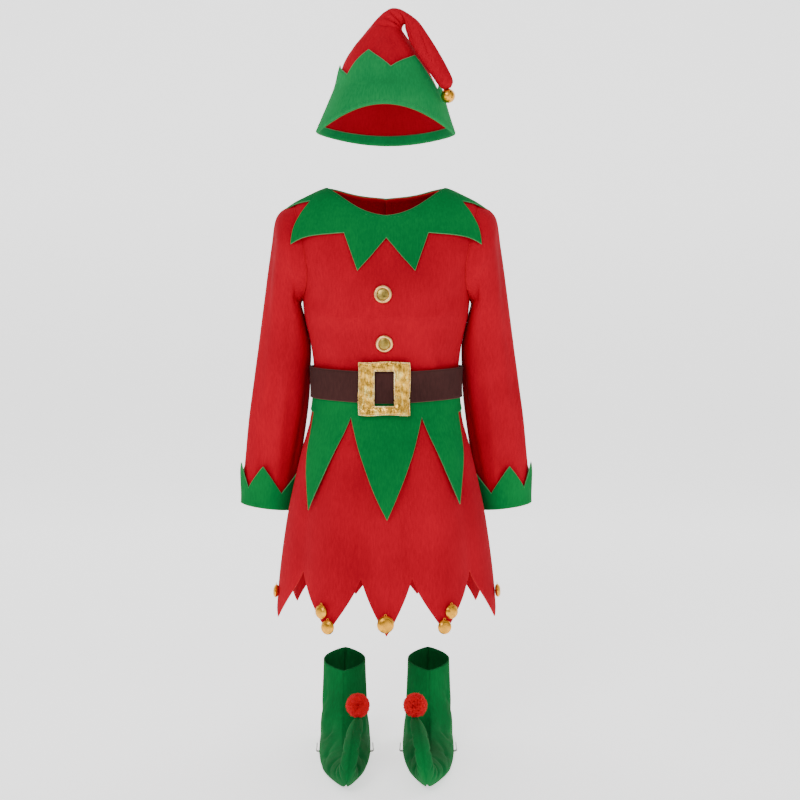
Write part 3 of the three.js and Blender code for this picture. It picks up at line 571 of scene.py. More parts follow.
# Soft creases: two ends, half width and depth in millimetres, outwards positive.
# On the dress they run over its front or back view (side -1 or 1), x to the wearer's left.
DRESS_CREASES = table("x0 z0 x1 z1 spread depth side", [
    (112, -150, 62, -176, 13, -1.6, -1), (104, -176, 56, -214, 12, -1.4, -1),
    (-110, -148, -66, -180, 13, -1.5, -1), (-104, -182, -50, -222, 12, -1.3, -1),
    (-64, -120, -78, -176, 11, 1.1, -1), (72, -126, 84, -190, 12, 1.0, -1),
    (38, -232, 44, -262, 9, -1.2, -1), (-44, -228, -50, -262, 9, -1.2, -1),
    (78, -236, 84, -264, 8, -1.3, -1), (-82, -238, -88, -264, 8, -1.2, -1),
    (-20, -240, -24, -264, 7, 0.9, -1), (62, -238, 66, -264, 7, 1.0, -1),
    (96, -340, 112, -470, 10, -2.0, -1), (-98, -345, -116, -480, 10, -2.0, -1),
    (58, -350, 70, -500, 12, 1.4, -1), (-62, -350, -78, -505, 12, 1.4, -1),
    (-8, -380, -10, -560, 13, 1.2, -1), (24, -360, 30, -530, 10, -1.5, -1),
    (-30, -365, -40, -540, 10, -1.5, -1), (96, -150, 66, -172, 13, -1.5, 1),
    (-98, -152, -60, -180, 13, -1.5, 1), (0, -70, 0, -250, 7, -1.1, 1),
    (46, -90, 52, -190, 14, 1.0, 1), (-50, -96, -58, -200, 14, 1.0, 1),
    (40, -222, 48, -262, 9, -1.2, 1), (-36, -226, -44, -262, 9, -1.1, 1),
    (82, -345, 100, -480, 11, -1.8, 1), (-86, -350, -104, -490, 11, -1.8, 1),
    (30, -350, 40, -520, 12, 1.3, 1), (-34, -355, -46, -520, 12, 1.3, 1),
])

# On a sleeve: angle and row of both ends.
SLEEVE_CREASES = table("angle0 row0 angle1 row1 spread depth", [
    (150, 0.6, 120, 3.6, 9, -2.4), (128, 0.4, 92, 2.8, 9, -1.5), (205, 0.6, 236, 3.4, 9, -2.2),
    (66, 1.0, 58, 5.0, 13, 1.5), (110, 3.0, 74, 8.8, 11, -1.9), (34, 2.4, 44, 8.6, 12, -1.3),
    (92, 5.6, 108, 10.6, 9, 1.6), (60, 7.6, 76, 11.4, 9, -1.4), (160, 6.0, 142, 10.0, 8, -1.8),
    (20, 6.6, 30, 11.2, 10, 1.2), (300, 2.0, 286, 8.0, 12, -1.6), (250, 3.0, 262, 9.0, 10, 1.3),
    (225, 6.2, 240, 10.6, 9, -1.5), (330, 5.0, 322, 10.8, 11, 1.2),
])

# On the hat: angle and row of both ends; the tail bends where its creases cross it.
HAT_CREASES = table("angle0 row0 angle1 row1 spread depth", [
    (-30, 3.4, -8, 7.6, 9, -1.6), (26, 3.2, 10, 6.8, 10, -1.3), (-62, 4.2, -40, 7.4, 8, 1.2),
    (-72, 6.9, 30, 7.6, 6, -1.6), (-60, 8.1, 50, 8.5, 5, -1.7), (-75, 9.0, 60, 9.6, 5, -1.5),
    (-40, 10.6, 70, 10.9, 4, -1.2), (10, 12.2, 60, 14.6, 4, -1.0), (-30, 14.2, 20, 16.6, 4, -0.9),
    (150, 3.2, 172, 7.4, 9, -1.5), (212, 3.4, 196, 7.8, 9, -1.5), (140, 8.2, 230, 8.6, 5, -1.4),
    (150, 10.2, 220, 10.6, 4, -1.1), (230, 2.8, 240, 6.4, 9, 1.1),
])

# On a shoe cover: place round the section and row of both ends.
SHOE_CREASES = table("place0 row0 place1 row1 spread depth", [
    (0.10, 1.2, 0.62, 3.0, 4.0, -1.3), (0.12, 2.2, 0.66, 4.4, 4.0, 1.0),
    (0.08, 3.0, 0.55, 5.2, 4.5, -1.5), (0.15, 4.2, 0.75, 5.6, 4.5, 1.0),
    (0.06, 4.6, 0.60, 7.2, 4.5, -1.2), (0.20, 6.2, 0.90, 6.8, 4.0, -1.1),
    (0.06, 7.3, 0.75, 7.9, 3.2, -1.5), (0.05, 8.2, 0.70, 8.6, 2.8, -1.4),
    (0.05, 9.0, 0.80, 9.2, 2.6, -1.4), (0.05, 9.8, 0.85, 9.9, 2.4, -1.3),
    (0.05, 10.7, 0.85, 10.8, 2.4, -1.2), (0.05, 11.6, 0.80, 11.7, 2.2, -1.0),
    (0.30, 0.6, 0.34, 2.6, 4.0, -0.8),
])

# Waist gathers and ripples of the peplum: angle, spread and depth.
PEPLUM_RIPPLES = table("angle spread depth", [
    (-170, 9, 1.4), (-139, 8, -1.5), (-104, 9, 1.5), (-73, 8, -1.4), (-46, 7, 1.2), (-20, 7, -1.5),
    (3, 8, 1.4), (24, 7, -1.3), (47, 8, 1.2), (75, 8, -1.5), (101, 8, 1.4), (133, 9, -1.4),
    (165, 9, 1.2),
])


CREASE = 1.5


def along_crease(spot, start, end, spread):
    """Share of a crease felt at a flat spot: full on its middle, easing out to its ends."""
    run = end - start
    t = clamp((spot - start).dot(run) / run.length_squared)
    off = (spot - start - run * t).length
    ends = smoothstep(min(t, 1 - t), 0, 0.3) if 0 < t < 1 else 0
    return math.exp(-((off / spread) ** 2)) * lerp(0.35, 1, ends)


def dress_creases(side):
    """Depth of the listed creases of a dress panel at a vertex."""
    rows = [row for row in DRESS_CREASES if row["side"] == side]

    def depth(u, v, p):
        spot = Vector((p.x, p.z))
        return CREASE * sum(
            row["depth"] * along_crease(
                spot, Vector((row["x0"], row["z0"])), Vector((row["x1"], row["z1"])), row["spread"])
            for row in rows)
    return depth


def grid_creases(rows, name, scale):
    """Depth of creases given on the grid of a piece; scale is the size of a step both ways."""
    def depth(u, v, p):
        spot = Vector((u * scale[0], v * scale[1]))
        total = 0.0
        for row in rows:
            start = Vector((row[name + "0"] * scale[0], row["row0"] * scale[1]))
            end = Vector((row[name + "1"] * scale[0], row["row1"] * scale[1]))
            total += row["depth"] * along_crease(spot, start, end, row["spread"])
        return CREASE * total
    return depth


def peplum_ripples(u, v, p):
    """Soft waves of the peplum, growing towards its points."""
    return v * waves(PEPLUM_RIPPLES, u)


# Meshes.
def smooth_mesh(bm, name):
    """A mesh with smooth shading from a finished bmesh."""
    for face in bm.faces:
        face.smooth = True
    mesh = bpy.data.meshes.new(name)
    bm.to_mesh(mesh)
    bm.free()
    return mesh


def new_piece(name, bm):
    """A piece at the origin, in the scene and on the body of the frame, from a finished bmesh."""
    piece = bpy.data.objects.new(name, smooth_mesh(bm, name))
    bpy.context.scene.collection.objects.link(piece)
    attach(piece, "root")
    return piece


def outline_tree(grid, ring):
    """The free edges of a sheet, ready to find the one nearest to a place."""
    places = [column[0] for column in grid] + [column[-1] for column in grid]
    if not ring:
        places += grid[0] + grid[-1]
    tree = KDTree(len(places))
    for index, place in enumerate(places):
        tree.insert(place, index)
    tree.balance()
    return tree


def grid_normal(grid, i, j, ring):
    """Normal of a sheet at a place of its grid."""
    before = grid[i - 1][j] if i > 0 else grid[-2][j] if ring else grid[i][j]
    after = grid[i + 1][j] if i < len(grid) - 1 else grid[1][j] if ring else grid[i][j]
    down = grid[i][min(j + 1, len(grid[i]) - 1)] - grid[i][max(j - 1, 0)]
    return (after - before).cross(down).normalized()


def lengths_along(places):
    """Running length along a line of places."""
    lengths = [0.0]
    for start, end in zip(places, places[1:]):
        lengths.append(lengths[-1] + (end - start).length)
    return lengths


def width_of(grid):
    """Width of a sheet laid flat: the longest way over it, square to its columns."""
    last = len(grid[0]) - 1
    widest = 0.0
    for j in (0, last // 4, last // 2, 3 * last // 4, last):
        width = 0.0
        for column, after in zip(grid, grid[1:]):
            near = []
            for k in range(last):
                if after[k] != after[k + 1]:
                    spot, t = geometry.intersect_point_line(column[j], after[k], after[k + 1])
                    t = clamp(t, 0.0 if k else -9.0, 1.0 if k < last - 1 else 999.0)
                    near.append((after[k].lerp(after[k + 1], t) - column[j]).length)
            width += min(near)
        widest = max(widest, width)
    return widest


def cloth(name, surface, us, vs, side, wall=1.6, ring=False, creases=None, seams=0.0, loose=False):
    """A sheet of cloth of an even wall on a surface, with its creases.

    side is 1 or -1 and turns the normal outwards. seams is how deep the two side borders sink, and
    loose keeps the creases off the first row, where the sheet is sewn on.
    """
    grid = [[surface(u, v) * MM for v in vs] for u in us]
    if ring:
        grid.append(grid[0])
        us = us + [us[0] + 360]
    across = len(grid) - 1
    along = len(vs) - 1
    run = lengths_along([column[along // 2] for column in grid])
    fall = [lengths_along(column) for column in grid]
    tree = outline_tree(grid, ring)
    bm = bmesh.new()
    bmesh.ops.create_grid(bm, x_segments=across, y_segments=along, size=0.5)
    uv_layer = bm.loops.layers.uv.new("UVMap")
    edge_layer = bm.verts.layers.float.new("edge")
    spots = {vert: (round((vert.co.x + 0.5) * across), round((vert.co.y + 0.5) * along))
             for vert in bm.verts}
    for face in bm.faces:
        for loop in face.loops:
            i, j = spots[loop.vert]
            loop[uv_layer].uv = (run[i], fall[i][j])
    for vert, (i, j) in spots.items():
        place = grid[i][j]
        # Distance to the nearest free edge, from which the cloth material paints its edge highlight.
        vert[edge_layer] = tree.find(place)[2]
        deep = creases(us[i], vs[j], place / MM) if creases else 0.0
        if loose:
            deep *= smoothstep(fall[i][j], 0, LOOSE_RUN)
        deep -= seams * bell_curve(min(run[i], run[-1] - run[i]), 0, SEAM_SPREAD)
        vert.co = place + grid_normal(grid, i, j, ring) * (side * deep * MM)
    if side < 0:
        bmesh.ops.reverse_faces(bm, faces=bm.faces)
    if ring:
        bmesh.ops.remove_doubles(bm, verts=bm.verts, dist=MERGE)
    area = sum(face.calc_area() for face in bm.faces)
    sheet = new_piece(name, bm)
    wall_of = sheet.modifiers.new("wall", "SOLIDIFY")
    wall_of.thickness = wall * MM
    wall_of.offset = 0.0
    wall_of.use_even_offset = False
    {"width": width_of(grid), "length": max(lengths[-1] for lengths in fall), "area": area}
    return sheet


def swept(name, sections):
    """A closed ring through sections, each a loop of the same number of places in millimetres."""
    bm = bmesh.new()
    order = bm.verts.layers.int.new("order")
    ring = [bm.verts.new(place * MM) for place in sections[0]]
    for k, vert in enumerate(ring):
        vert[order] = k
    first = [bm.edges.new((a, b)) for a, b in zip(ring, ring[1:] + ring[:1])]
    loop = first
    for section in sections[1:]:
        made = bmesh.ops.extrude_edge_only(bm, edges=loop)["geom"]
        ends = {part for part in made if isinstance(part, bmesh.types.BMVert)}
        loop = [part for part in made
                if isinstance(part, bmesh.types.BMEdge) and ends.issuperset(part.verts)]
        for vert in ends:
            vert.co = section[vert[order]] * MM
    bmesh.ops.bridge_loops(bm, edges=first + loop)
    bm.verts.layers.int.remove(order)
    bmesh.ops.recalc_face_normals(bm, faces=bm.faces)
    return new_piece(name, bm)


def tube(name, path, radius, segments=8):
    """A round cord along a closed path."""
    sections = []
    for k, place in enumerate(path):
        ahead = (path[(k + 1) % len(path)] - path[k - 1]).normalized()
        aside = ahead.cross(Vector((0, 0, 1)))
        if aside.length < 0.05:
            aside = ahead.cross(Vector((0, 1, 0)))
        aside.normalize()
        above = aside.cross(ahead)
        turns = [2 * math.pi * side / segments for side in range(segments)]
        sections.append([place + (aside * math.cos(a) + above * math.sin(a)) * radius for a in turns])
    return swept(name, sections)


def sewn(name, pairs, radius):
    """Single stitches, each a short thick thread between two places, with the direction off the cloth."""
    bm = bmesh.new()
    for start, end, up in pairs:
        ahead = (end - start).normalized()
        side = ahead.cross(up).normalized()
        basis = Matrix((ahead, side, up)).transposed().to_4x4()
        move = Matrix.Translation((start + end) / 2 * MM)
        grow = Matrix.Diagonal(((end - start).length / 2 * MM, radius * MM, radius * 0.8 * MM, 1))
        bmesh.ops.create_icosphere(bm, subdivisions=1, radius=1, matrix=move @ basis @ grow)
    return new_piece(name, bm)


def stitches(name, surface, places, length=3.0, gap=2.2, lift=0.25):
    """A line of stitches laid on a surface through places (u, v)."""
    line = [surface(u, v) for u, v in places]
    total = lengths_along(line)

    def spot(distance):
        k = 0
        while k < len(total) - 2 and total[k + 1] < distance:
            k += 1
        t = clamp((distance - total[k]) / max(total[k + 1] - total[k], 1e-6))
        u, v = (lerp(places[k][n], places[k + 1][n], t) for n in (0, 1))
        return line[k].lerp(line[k + 1], t), normal_of(surface, u, v)

    pairs = []
    at = gap
    while at + length < total[-1]:
        start, up = spot(at)
        end = spot(at + length)[0]
        ahead = (end - start).normalized() * (length / 2)
        middle = (start + end) / 2 + up * lift
        pairs.append((middle - ahead, middle + ahead, up))
        at += length + gap
    return sewn(name, pairs, 0.35)


def spun(profile, turn, segments=48):
    """A turned solid from a profile of radius and height in millimetres, set by a matrix in metres."""
    bm = bmesh.new()
    verts = [bm.verts.new((radius * MM, 0, height * MM)) for radius, height in profile]
    edges = [bm.edges.new((a, b)) for a, b in zip(verts, verts[1:])]
    bmesh.ops.spin(
        bm, geom=verts + edges, cent=(0, 0, 0), axis=(0, 0, 1), angle=2 * math.pi,
        steps=segments, use_merge=True, use_duplicate=False)
    bmesh.ops.remove_doubles(bm, verts=bm.verts, dist=MERGE)
    bmesh.ops.recalc_face_normals(bm, faces=bm.faces)
    bmesh.ops.transform(bm, matrix=turn, verts=bm.verts)
    return bm


def facing(place, out):
    """A matrix that stands +Z along a direction at a place in millimetres."""
    turn = out.to_track_quat("Z", "Y").to_matrix().to_4x4()
    return Matrix.Translation(place * MM) @ turn


# Materials.
class Nodes:
    """A short way of laying out the nodes of one material."""

    def __init__(self, name):
        self.material = bpy.data.materials.new(name)
        self.material.use_nodes = True
        self.tree = self.material.node_tree
        self.shader = self.tree.nodes["Principled BSDF"]
        self.place = self.tree.nodes.new("ShaderNodeTexCoord").outputs["Object"]

    def add(self, kind, inputs=None, **settings):
        """A node with its settings; an input is a value or the output that feeds it."""
        node = self.tree.nodes.new(kind)
        for key, value in settings.items():
            setattr(node, key, value)
        for key, value in (inputs or {}).items():
            self.feed(node.inputs[key], value)
        return node

    def feed(self, socket, value):
        """Puts a value or a link on a socket."""
        if isinstance(value, bpy.types.NodeSocket):
            self.tree.links.new(value, socket)
        else:
            socket.default_value = value

    def stretch(self, scale):
        """Object places stretched by a scale."""
        return self.add("ShaderNodeMapping", {"Vector": self.place, "Scale": scale}).outputs["Vector"]

    def noise(self, scale, detail=3.0, vector=None, rough=0.55):
        """Noise of a size over the object."""
        inputs = {"Vector": vector or self.place, "Scale": scale, "Detail": detail, "Roughness": rough}
        return self.add("ShaderNodeTexNoise", inputs).outputs["Fac"]

    def span(self, value, low, high, start=0.0, end=1.0):
        """A value moved from one range to another and held there."""
        inputs = {"Value": value, "From Min": low, "From Max": high, "To Min": start, "To Max": end}
        return self.add("ShaderNodeMapRange", inputs).outputs["Result"]

    def blend(self, first, first_share, second, second_share):
        """Shares of two values added up."""
        inputs = {0: second, 1: second_share, 2: self.share(first, first_share)}
        return self.add("ShaderNodeMath", inputs, operation="MULTIPLY_ADD").outputs["Value"]

    def share(self, value, part):
        """A share of a value."""
        return self.add("ShaderNodeMath", {0: value, 1: part}, operation="MULTIPLY").outputs["Value"]

    def mix(self, share, first, second):
        """Two colours mixed by a share."""
        node = self.add("ShaderNodeMix", data_type="RGBA")
        self.feed(node.inputs["Factor"], share)
        self.feed(node.inputs["A"], first)
        self.feed(node.inputs["B"], second)
        return node.outputs["Result"]

    def bump(self, height, strength, distance):
        """A bump of a height in metres, put on the shader."""
        node = self.add("ShaderNodeBump", {"Height": height, "Strength": strength, "Distance": distance})
        self.feed(self.shader.inputs["Normal"], node.outputs["Normal"])

    def surface(self, **values):
        """Values and links of the shader."""
        for key, value in values.items():
            self.feed(self.shader.inputs[key.replace("_", " ")], value)


def shade(red, green, blue):
    """Colour of the render from one read on the picture, 0 to 255 a channel."""
    def linear(c):
        c = c / 255
        return c / 12.92 if c <= 0.04045 else ((c + 0.055) / 1.055) ** 2.4
    return (linear(red), linear(green), linear(blue), 1.0)


def scaled(colour, share):
    """A colour of the settings made darker by a share."""
    return (colour[0] * share, colour[1] * share, colour[2] * share, 1.0)


def paint(name, red, green, blue):
    """A colour that can be set in the panel, given as read on the picture."""
    return bpy.props.FloatVectorProperty(
        name=name, description="Colour of the " + name.lower(), subtype="COLOR", size=3, min=0.0, max=1.0,
        default=shade(red, green, blue)[:3])


def brushed_cloth(name, light, deep, rim=None, rim_width=0.0016, lustre=0.05):
    """Brushed polyester cloth: a short nap, upright fibres, and a painted highlight along its free edges
    where rim is given.
    """
    n = Nodes(name)
    cloudy = n.noise(9.0, 2.0)
    upright = n.noise(420.0, 3.0, n.stretch((1.0, 1.0, 0.22)))
    nap = n.noise(1500.0, 2.0)
    tone = n.blend(cloudy, 0.6, upright, 0.4)
    colour = n.mix(n.span(tone, 0.36, 0.64), deep, light)
    colour = n.mix(n.span(nap, 0.42, 0.72, 0.0, 0.16), colour, deep)
    height = n.blend(upright, 0.6, nap, 0.4)
    edge = n.add("ShaderNodeAttribute", attribute_name="edge").outputs["Fac"]
    # Painted highlight: the cloth turns to the rim colour near its free edges.
    if rim:
        colour = n.mix(n.span(edge, rim_width * 0.4, rim_width, 0.85, 0.0), colour, rim)
    n.bump(height, 0.5, 0.0005)
    n.surface(Base_Color=colour, Roughness=0.9, Specular_IOR_Level=0.1, Sheen_Weight=lustre,
              Sheen_Roughness=0.5, Sheen_Tint=light)
    return n.material


# pale is the colour of the painted highlights and glints, shadow that of the painted shade.
def lame(name, pale, gold, shadow):
    """Gold lame over padding: broad soft crumples and upright fine pleats with painted shade and painted
    highlights following them, and smoother flecks of foil with painted glints.
    """
    n = Nodes(name)
    crumple = n.noise(46.0, 3.0)
    pleats = n.noise(330.0, 3.0, n.stretch((1.0, 1.0, 0.3)))
    foil_glints = n.noise(700.0, 3.0, None, 0.7)
    # Painted shade where the crumples and pleats run low, painted highlight where they run high.
    tone = n.blend(crumple, 0.35, pleats, 0.65)
    colour = n.mix(n.span(tone, 0.38, 0.5), shadow, gold)
    colour = n.mix(n.span(tone, 0.52, 0.64), colour, pale)
    # Painted glints: the pale colour on the flecks of foil, which are also smoother.
    colour = n.mix(n.span(foil_glints, 0.6, 0.78, 0.0, 0.35), colour, pale)
    height = n.blend(crumple, 1.0, pleats, 0.3)
    n.bump(height, 0.8, 0.004)
    n.surface(Base_Color=colour, Metallic=0.85, Roughness=n.span(foil_glints, 0.3, 0.7, 0.2, 0.38),
              Specular_IOR_Level=0.6)
    return n.material


def brass(name, light, dark, rough=0.24):
    """Gold-coloured pressed metal with faint wear."""
    n = Nodes(name)
    wear = n.noise(140.0, 4.0)
    fine = n.noise(900.0, 2.0)
    colour = n.mix(n.span(wear, 0.38, 0.66), dark, light)
    n.bump(fine, 0.12, 0.0002)
    n.surface(Base_Color=colour, Metallic=1.0, Roughness=n.span(wear, 0.35, 0.7, rough, rough + 0.16))
    return n.material


def yarn(name, light, deep):
    """Cut yarn of a pompom, with painted shade darkening it towards its core."""
    n = Nodes(name)
    strand = n.noise(900.0, 3.0)
    depth = n.add("ShaderNodeAttribute", attribute_name="edge").outputs["Fac"]
    colour = n.mix(n.span(strand, 0.35, 0.65), deep, light)
    # Painted shade: towards the roots of the locks the yarn turns to the deep colour.
    colour = n.mix(n.span(depth, 0.0, 0.6, 0.6, 0.0), colour, deep)
    n.bump(strand, 0.4, 0.0003)
    n.surface(Base_Color=colour, Roughness=0.92, Specular_IOR_Level=0.15, Sheen_Weight=0.1,
              Sheen_Roughness=0.5)
    return n.material


def knitted(name, light, deep):
    """Ribbed knitted elastic, with painted shade in the grooves between its ribs."""
    n = Nodes(name)
    ribs = n.add("ShaderNodeTexWave", {"Vector": n.place, "Scale": 190.0, "Distortion": 0.4},
                 wave_type="BANDS", bands_direction="Y").outputs["Fac"]
    n.bump(ribs, 0.5, 0.0004)
    # The deep colour lies in the grooves of the ribs as painted shade, the light one on their crests.
    n.surface(Base_Color=n.mix(ribs, deep, light), Roughness=0.8, Specular_IOR_Level=0.3)
    return n.material


def thread(name, light, deep):
    """Sewing thread."""
    n = Nodes(name)
    twist = n.noise(1600.0, 2.0)
    n.bump(twist, 0.3, 0.0002)
    n.surface(Base_Color=n.mix(n.span(twist, 0.35, 0.65), deep, light), Roughness=0.7, Specular_IOR_Level=0.3)
    return n.material


def matt_floor(name, light, deep):
    """The pale plain floor of the picture."""
    n = Nodes(name)
    n.surface(Base_Color=n.mix(n.span(n.noise(1.5, 2.0), 0.3, 0.7), deep, light), Roughness=0.9,
              Specular_IOR_Level=0.1, Emission_Color=light, Emission_Strength=1.15)
    return n.material


# Finishes: how each is made, its name, its two or three colours and what else differs. A colour is
# read on the picture, or is one of the settings made darker by a share.
FINISHES = {
    # The rim of a cloth is the colour of a painted highlight along its free edges.
    "red_cloth": (brushed_cloth, "red_brushed_cloth", [("red", 1), ("red", 0.72)],
                  {"rim": shade(190, 24, 34), "rim_width": 0.001}),
    "green_cloth": (brushed_cloth, "green_brushed_cloth", [("green", 1), ("green", 0.66)],
                    {"rim": shade(76, 138, 88), "rim_width": 0.0012}),
    "band_cloth": (brushed_cloth, "green_band_cloth", [("band", 1), ("band", 0.66)],
                   {"rim": shade(88, 154, 106), "rim_width": 0.0012}),
    "shoe_cloth": (brushed_cloth, "green_shoe_cloth", [("shoe", 1), ("shoe", 0.6)], {}),
    "brown_cloth": (brushed_cloth, "brown_felt", [("brown", 1), ("brown", 0.56)],
                    {"rim": shade(84, 54, 50), "rim_width": 0.0012, "lustre": 0.2}),
    # Lame of the buckle and its piping: painted highlight, its own gold, then painted shade.
    "gold_lame": (lame, "gold_lame", [(255, 226, 124), ("gold", 1), ("gold", 0.42)], {}),
    "gold_rim": (lame, "gold_piping", [(255, 240, 186), (244, 208, 128), (206, 156, 76)], {}),
    "gold_metal": (brass, "pressed_brass", [("metal", 1), ("metal", 0.66)], {}),
    "button_rim": (brass, "button_rim_metal", [(252, 210, 148), (232, 178, 110)], {"rough": 0.3}),
    "button_dome": (brass, "button_dome_metal", [(190, 162, 84), (132, 108, 46)], {"rough": 0.26}),
    # Dark metal of the bell slots: painted shade of the hollow inside.
    "bell_inside": (brass, "bell_inside_metal", [(70, 46, 22), (40, 26, 12)], {"rough": 0.6}),
    # The darker elastic colour is painted shade in the grooves of its ribs.
    "elastic": (knitted, "knitted_elastic", [(232, 232, 228), (190, 190, 186)], {}),
    # The deep pompom colour is random yarn tone and painted shade at the roots of the locks.
    "red_pompom": (yarn, "pompom_yarn", [("pompom", 1), ("pompom", 0.74)], {}),
    "red_thread": (thread, "red_thread", [(196, 40, 48), (150, 14, 26)], {}),
    "green_thread": (thread, "green_thread", [(40, 132, 76), (10, 92, 50)], {}),
    "gold_thread": (thread, "gold_thread", [(236, 210, 150), (190, 150, 84)], {}),
}
MATERIALS = {}


def tone_of(colour):
    """A colour of a finish: three channels of the picture, or a setting and its share."""
    if isinstance(colour[0], str):
        return scaled(getattr(settings(bpy.context), colour[0]), colour[1])
    return shade(*colour)


def material(finish):
    """The material of a finish, made once."""
    if finish not in MATERIALS:
        maker, name, colours, rest = FINISHES[finish]
        MATERIALS[finish] = maker(name, *[tone_of(colour) for colour in colours], **rest)
    return MATERIALS[finish]


def finished(piece, finish, *nodes):
    """Gives a piece its finish and slot, and puts it in place of the nodes it stands for."""
    piece.data.materials.append(material(finish))
    if nodes:
        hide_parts(*nodes)
    return piece


PANEL_ROWS = steps(0, 1, 36) + steps(1, 2, 64)[1:] + steps(2, 3, 16)[1:]


class ElfCostumeSettings(bpy.types.PropertyGroup):
    """Sizes and colours of the costume that can be changed before it is built."""

    wall: bpy.props.FloatProperty(
        name="Cloth", description="Thickness of the red cloth and the belt", default=0.0016, min=0.0008,
        max=0.003, precision=4, unit="LENGTH")
    trim_wall: bpy.props.FloatProperty(
        name="Trim", description="Thickness of the green trims", default=0.0014, min=0.0008, max=0.003,
        precision=4, unit="LENGTH")
    pompom_locks: bpy.props.IntProperty(
        name="Pompom locks", description="Number of yarn ends on each pompom", default=1500, min=200,
        max=4000)
    key_light: bpy.props.FloatProperty(
        name="Key light", description="Power of the main soft light", default=46.0, min=1.0, max=400.0,
        unit="POWER")
    red: paint("Red cloth", 176, 0, 30)
    green: paint("Green trims", 4, 116, 52)
    band: paint("Hat band", 24, 136, 70)
    shoe: paint("Shoe covers", 14, 110, 50)
    brown: paint("Belt", 66, 37, 35)
    gold: paint("Buckle", 230, 172, 54)
    metal: paint("Bells", 250, 176, 50)
    pompom: paint("Pompoms", 238, 0, 26)


def settings(context):
    """The settings of the scene."""
    return context.scene.elf_costume


class ELF_OT_dress(bpy.types.Operator):
    """Builds the front and the two back panels of the dress, with their folds and seams."""

    bl_idname = "elf.dress"
    bl_label = "Dress"

    def execute(self, context):
        """Builds the pieces."""
        wall = settings(context).wall / MM
        half_front = len(FRONT_COLUMNS) - 1
        half_back = len(BACK_COLUMNS) - 1
        columns = steps(-half_front, half_front, 8 * half_front)
        front = cloth("dress_front_cloth", front_surface, columns, PANEL_ROWS, -1, wall=wall,
                      creases=dress_creases(-1), seams=0.7)
        finished(front, "red_cloth", "dress_front")
        for name, surface, side in (("left", back_surface, 1), ("right", mirrored(back_surface), -1)):
            columns = steps(0, half_back, 4 * half_back)
            back = cloth("dress_back_" + name + "_cloth", surface, columns, PANEL_ROWS, side, wall=wall,
                         creases=dress_creases(1), seams=0.7)
            finished(back, "red_cloth", "dress_back_" + name)
        inner = moved_out(back_surface, 1.1, -1)
        for name, surface in (("left", inner), ("right", mirrored(inner))):
            line = stitches("closure_stitches_" + name, surface, [(0.42, v) for v in steps(0.03, 2.2, 60)])
            finished(line, "red_thread")
        return {"FINISHED"}


class ELF_OT_sleeves(bpy.types.Operator):
    """Builds both sleeves and their turned-up pointed cuffs."""

    bl_idname = "elf.sleeves"
    bl_label = "Sleeves and cuffs"

    def execute(self, context):
        """Builds the pieces."""
        wall = settings(context).wall / MM
        trim = settings(context).trim_wall / MM
        angles = steps(0, 360, 96)[:-1]
        rows = steps(0, 1, 14) + steps(1, SLEEVE_LAST, 100)[1:]
        creases = grid_creases(SLEEVE_CREASES, "angle", (0.8, 40))
        cuff_angles = edge_columns(CUFF_EDGE, "angle", 12)[:-1]
        for name, turn, side in (("left", lambda s: s, 1), ("right", mirrored, -1)):
            sleeve = cloth("sleeve_" + name + "_cloth", turn(sleeve_point), angles, rows, side, wall=wall,
                           ring=True, creases=creases, loose=True)
            finished(sleeve, "red_cloth", "sleeve_" + name)
            cuff = cloth("cuff_" + name + "_cloth", turn(cuff_point), cuff_angles, steps(0, 1, 24), -side,
                         wall=trim, ring=True)
            finished(cuff, "green_cloth", "cuff_" + name)
        return {"FINISHED"}


class ELF_OT_collar(bpy.types.Operator):
    """Builds the pointed collar."""

    bl_idname = "elf.collar"
    bl_label = "Collar"

    def execute(self, context):
        """Builds the piece."""
        half = edge_columns(COLLAR_EDGE, "neck_angle", 12)
        columns = [-a for a in reversed(half[1:])] + half
        collar = cloth("collar_cloth", collar_point, columns, steps(0, 1, 30), -1,
                       wall=settings(context).trim_wall / MM)
        finished(collar, "green_cloth", "collar")
        neckline = [(angle, 0.06) for angle in steps(-176, 176, 240)]
        line = stitches("collar_stitches", collar_point, neckline, lift=-0.8)
        finished(line, "green_thread")
        return {"FINISHED"}


class ELF_OT_waist(bpy.types.Operator):
    """Builds the pointed peplum and the belt over it."""

    bl_idname = "elf.waist"
    bl_label = "Peplum and belt"

    def execute(self, context):
        """Builds the pieces."""
        trim = settings(context).trim_wall / MM
        angles = edge_columns(PEPLUM_EDGE, "angle", 18)[:-1]
        peplum = cloth("peplum_cloth", peplum_point, angles, steps(0, 1, 40), -1, wall=trim, ring=True,
                       creases=peplum_ripples)
        finished(peplum, "green_cloth", "peplum")
        rows = steps(BELT_TOP_Z, BELT_TOP_Z - BELT_HEIGHT, 14)
        belt = cloth("belt_cloth", belt_point, steps(0, 360, 180)[:-1], rows, -1,
                     wall=settings(context).wall / MM, ring=True)
        finished(belt, "brown_cloth", "belt")
        return {"FINISHED"}


BUCKLE = {
    "x": -3, "z": -284.8, "width": 73.5, "height": 75, "hole_width": 27.5, "hole_height": 50, "pad": 4.4,
}
BUCKLE_BACK = BELT_STAND + 0.8 + 0.9
BUCKLE_SIDE = 40
BUCKLE_SECTION = [
    (0, 0), (0, 0.35), (0.02, 0.6), (0.06, 0.72), (0.12, 0.8), (0.2, 0.95), (0.32, 1.02), (0.5, 1.05),
    (0.68, 1.02), (0.8, 0.95), (0.88, 0.8), (0.94, 0.72), (0.98, 0.6), (1, 0.35), (1, 0), (0.75, 0),
    (0.5, 0), (0.25, 0),
]


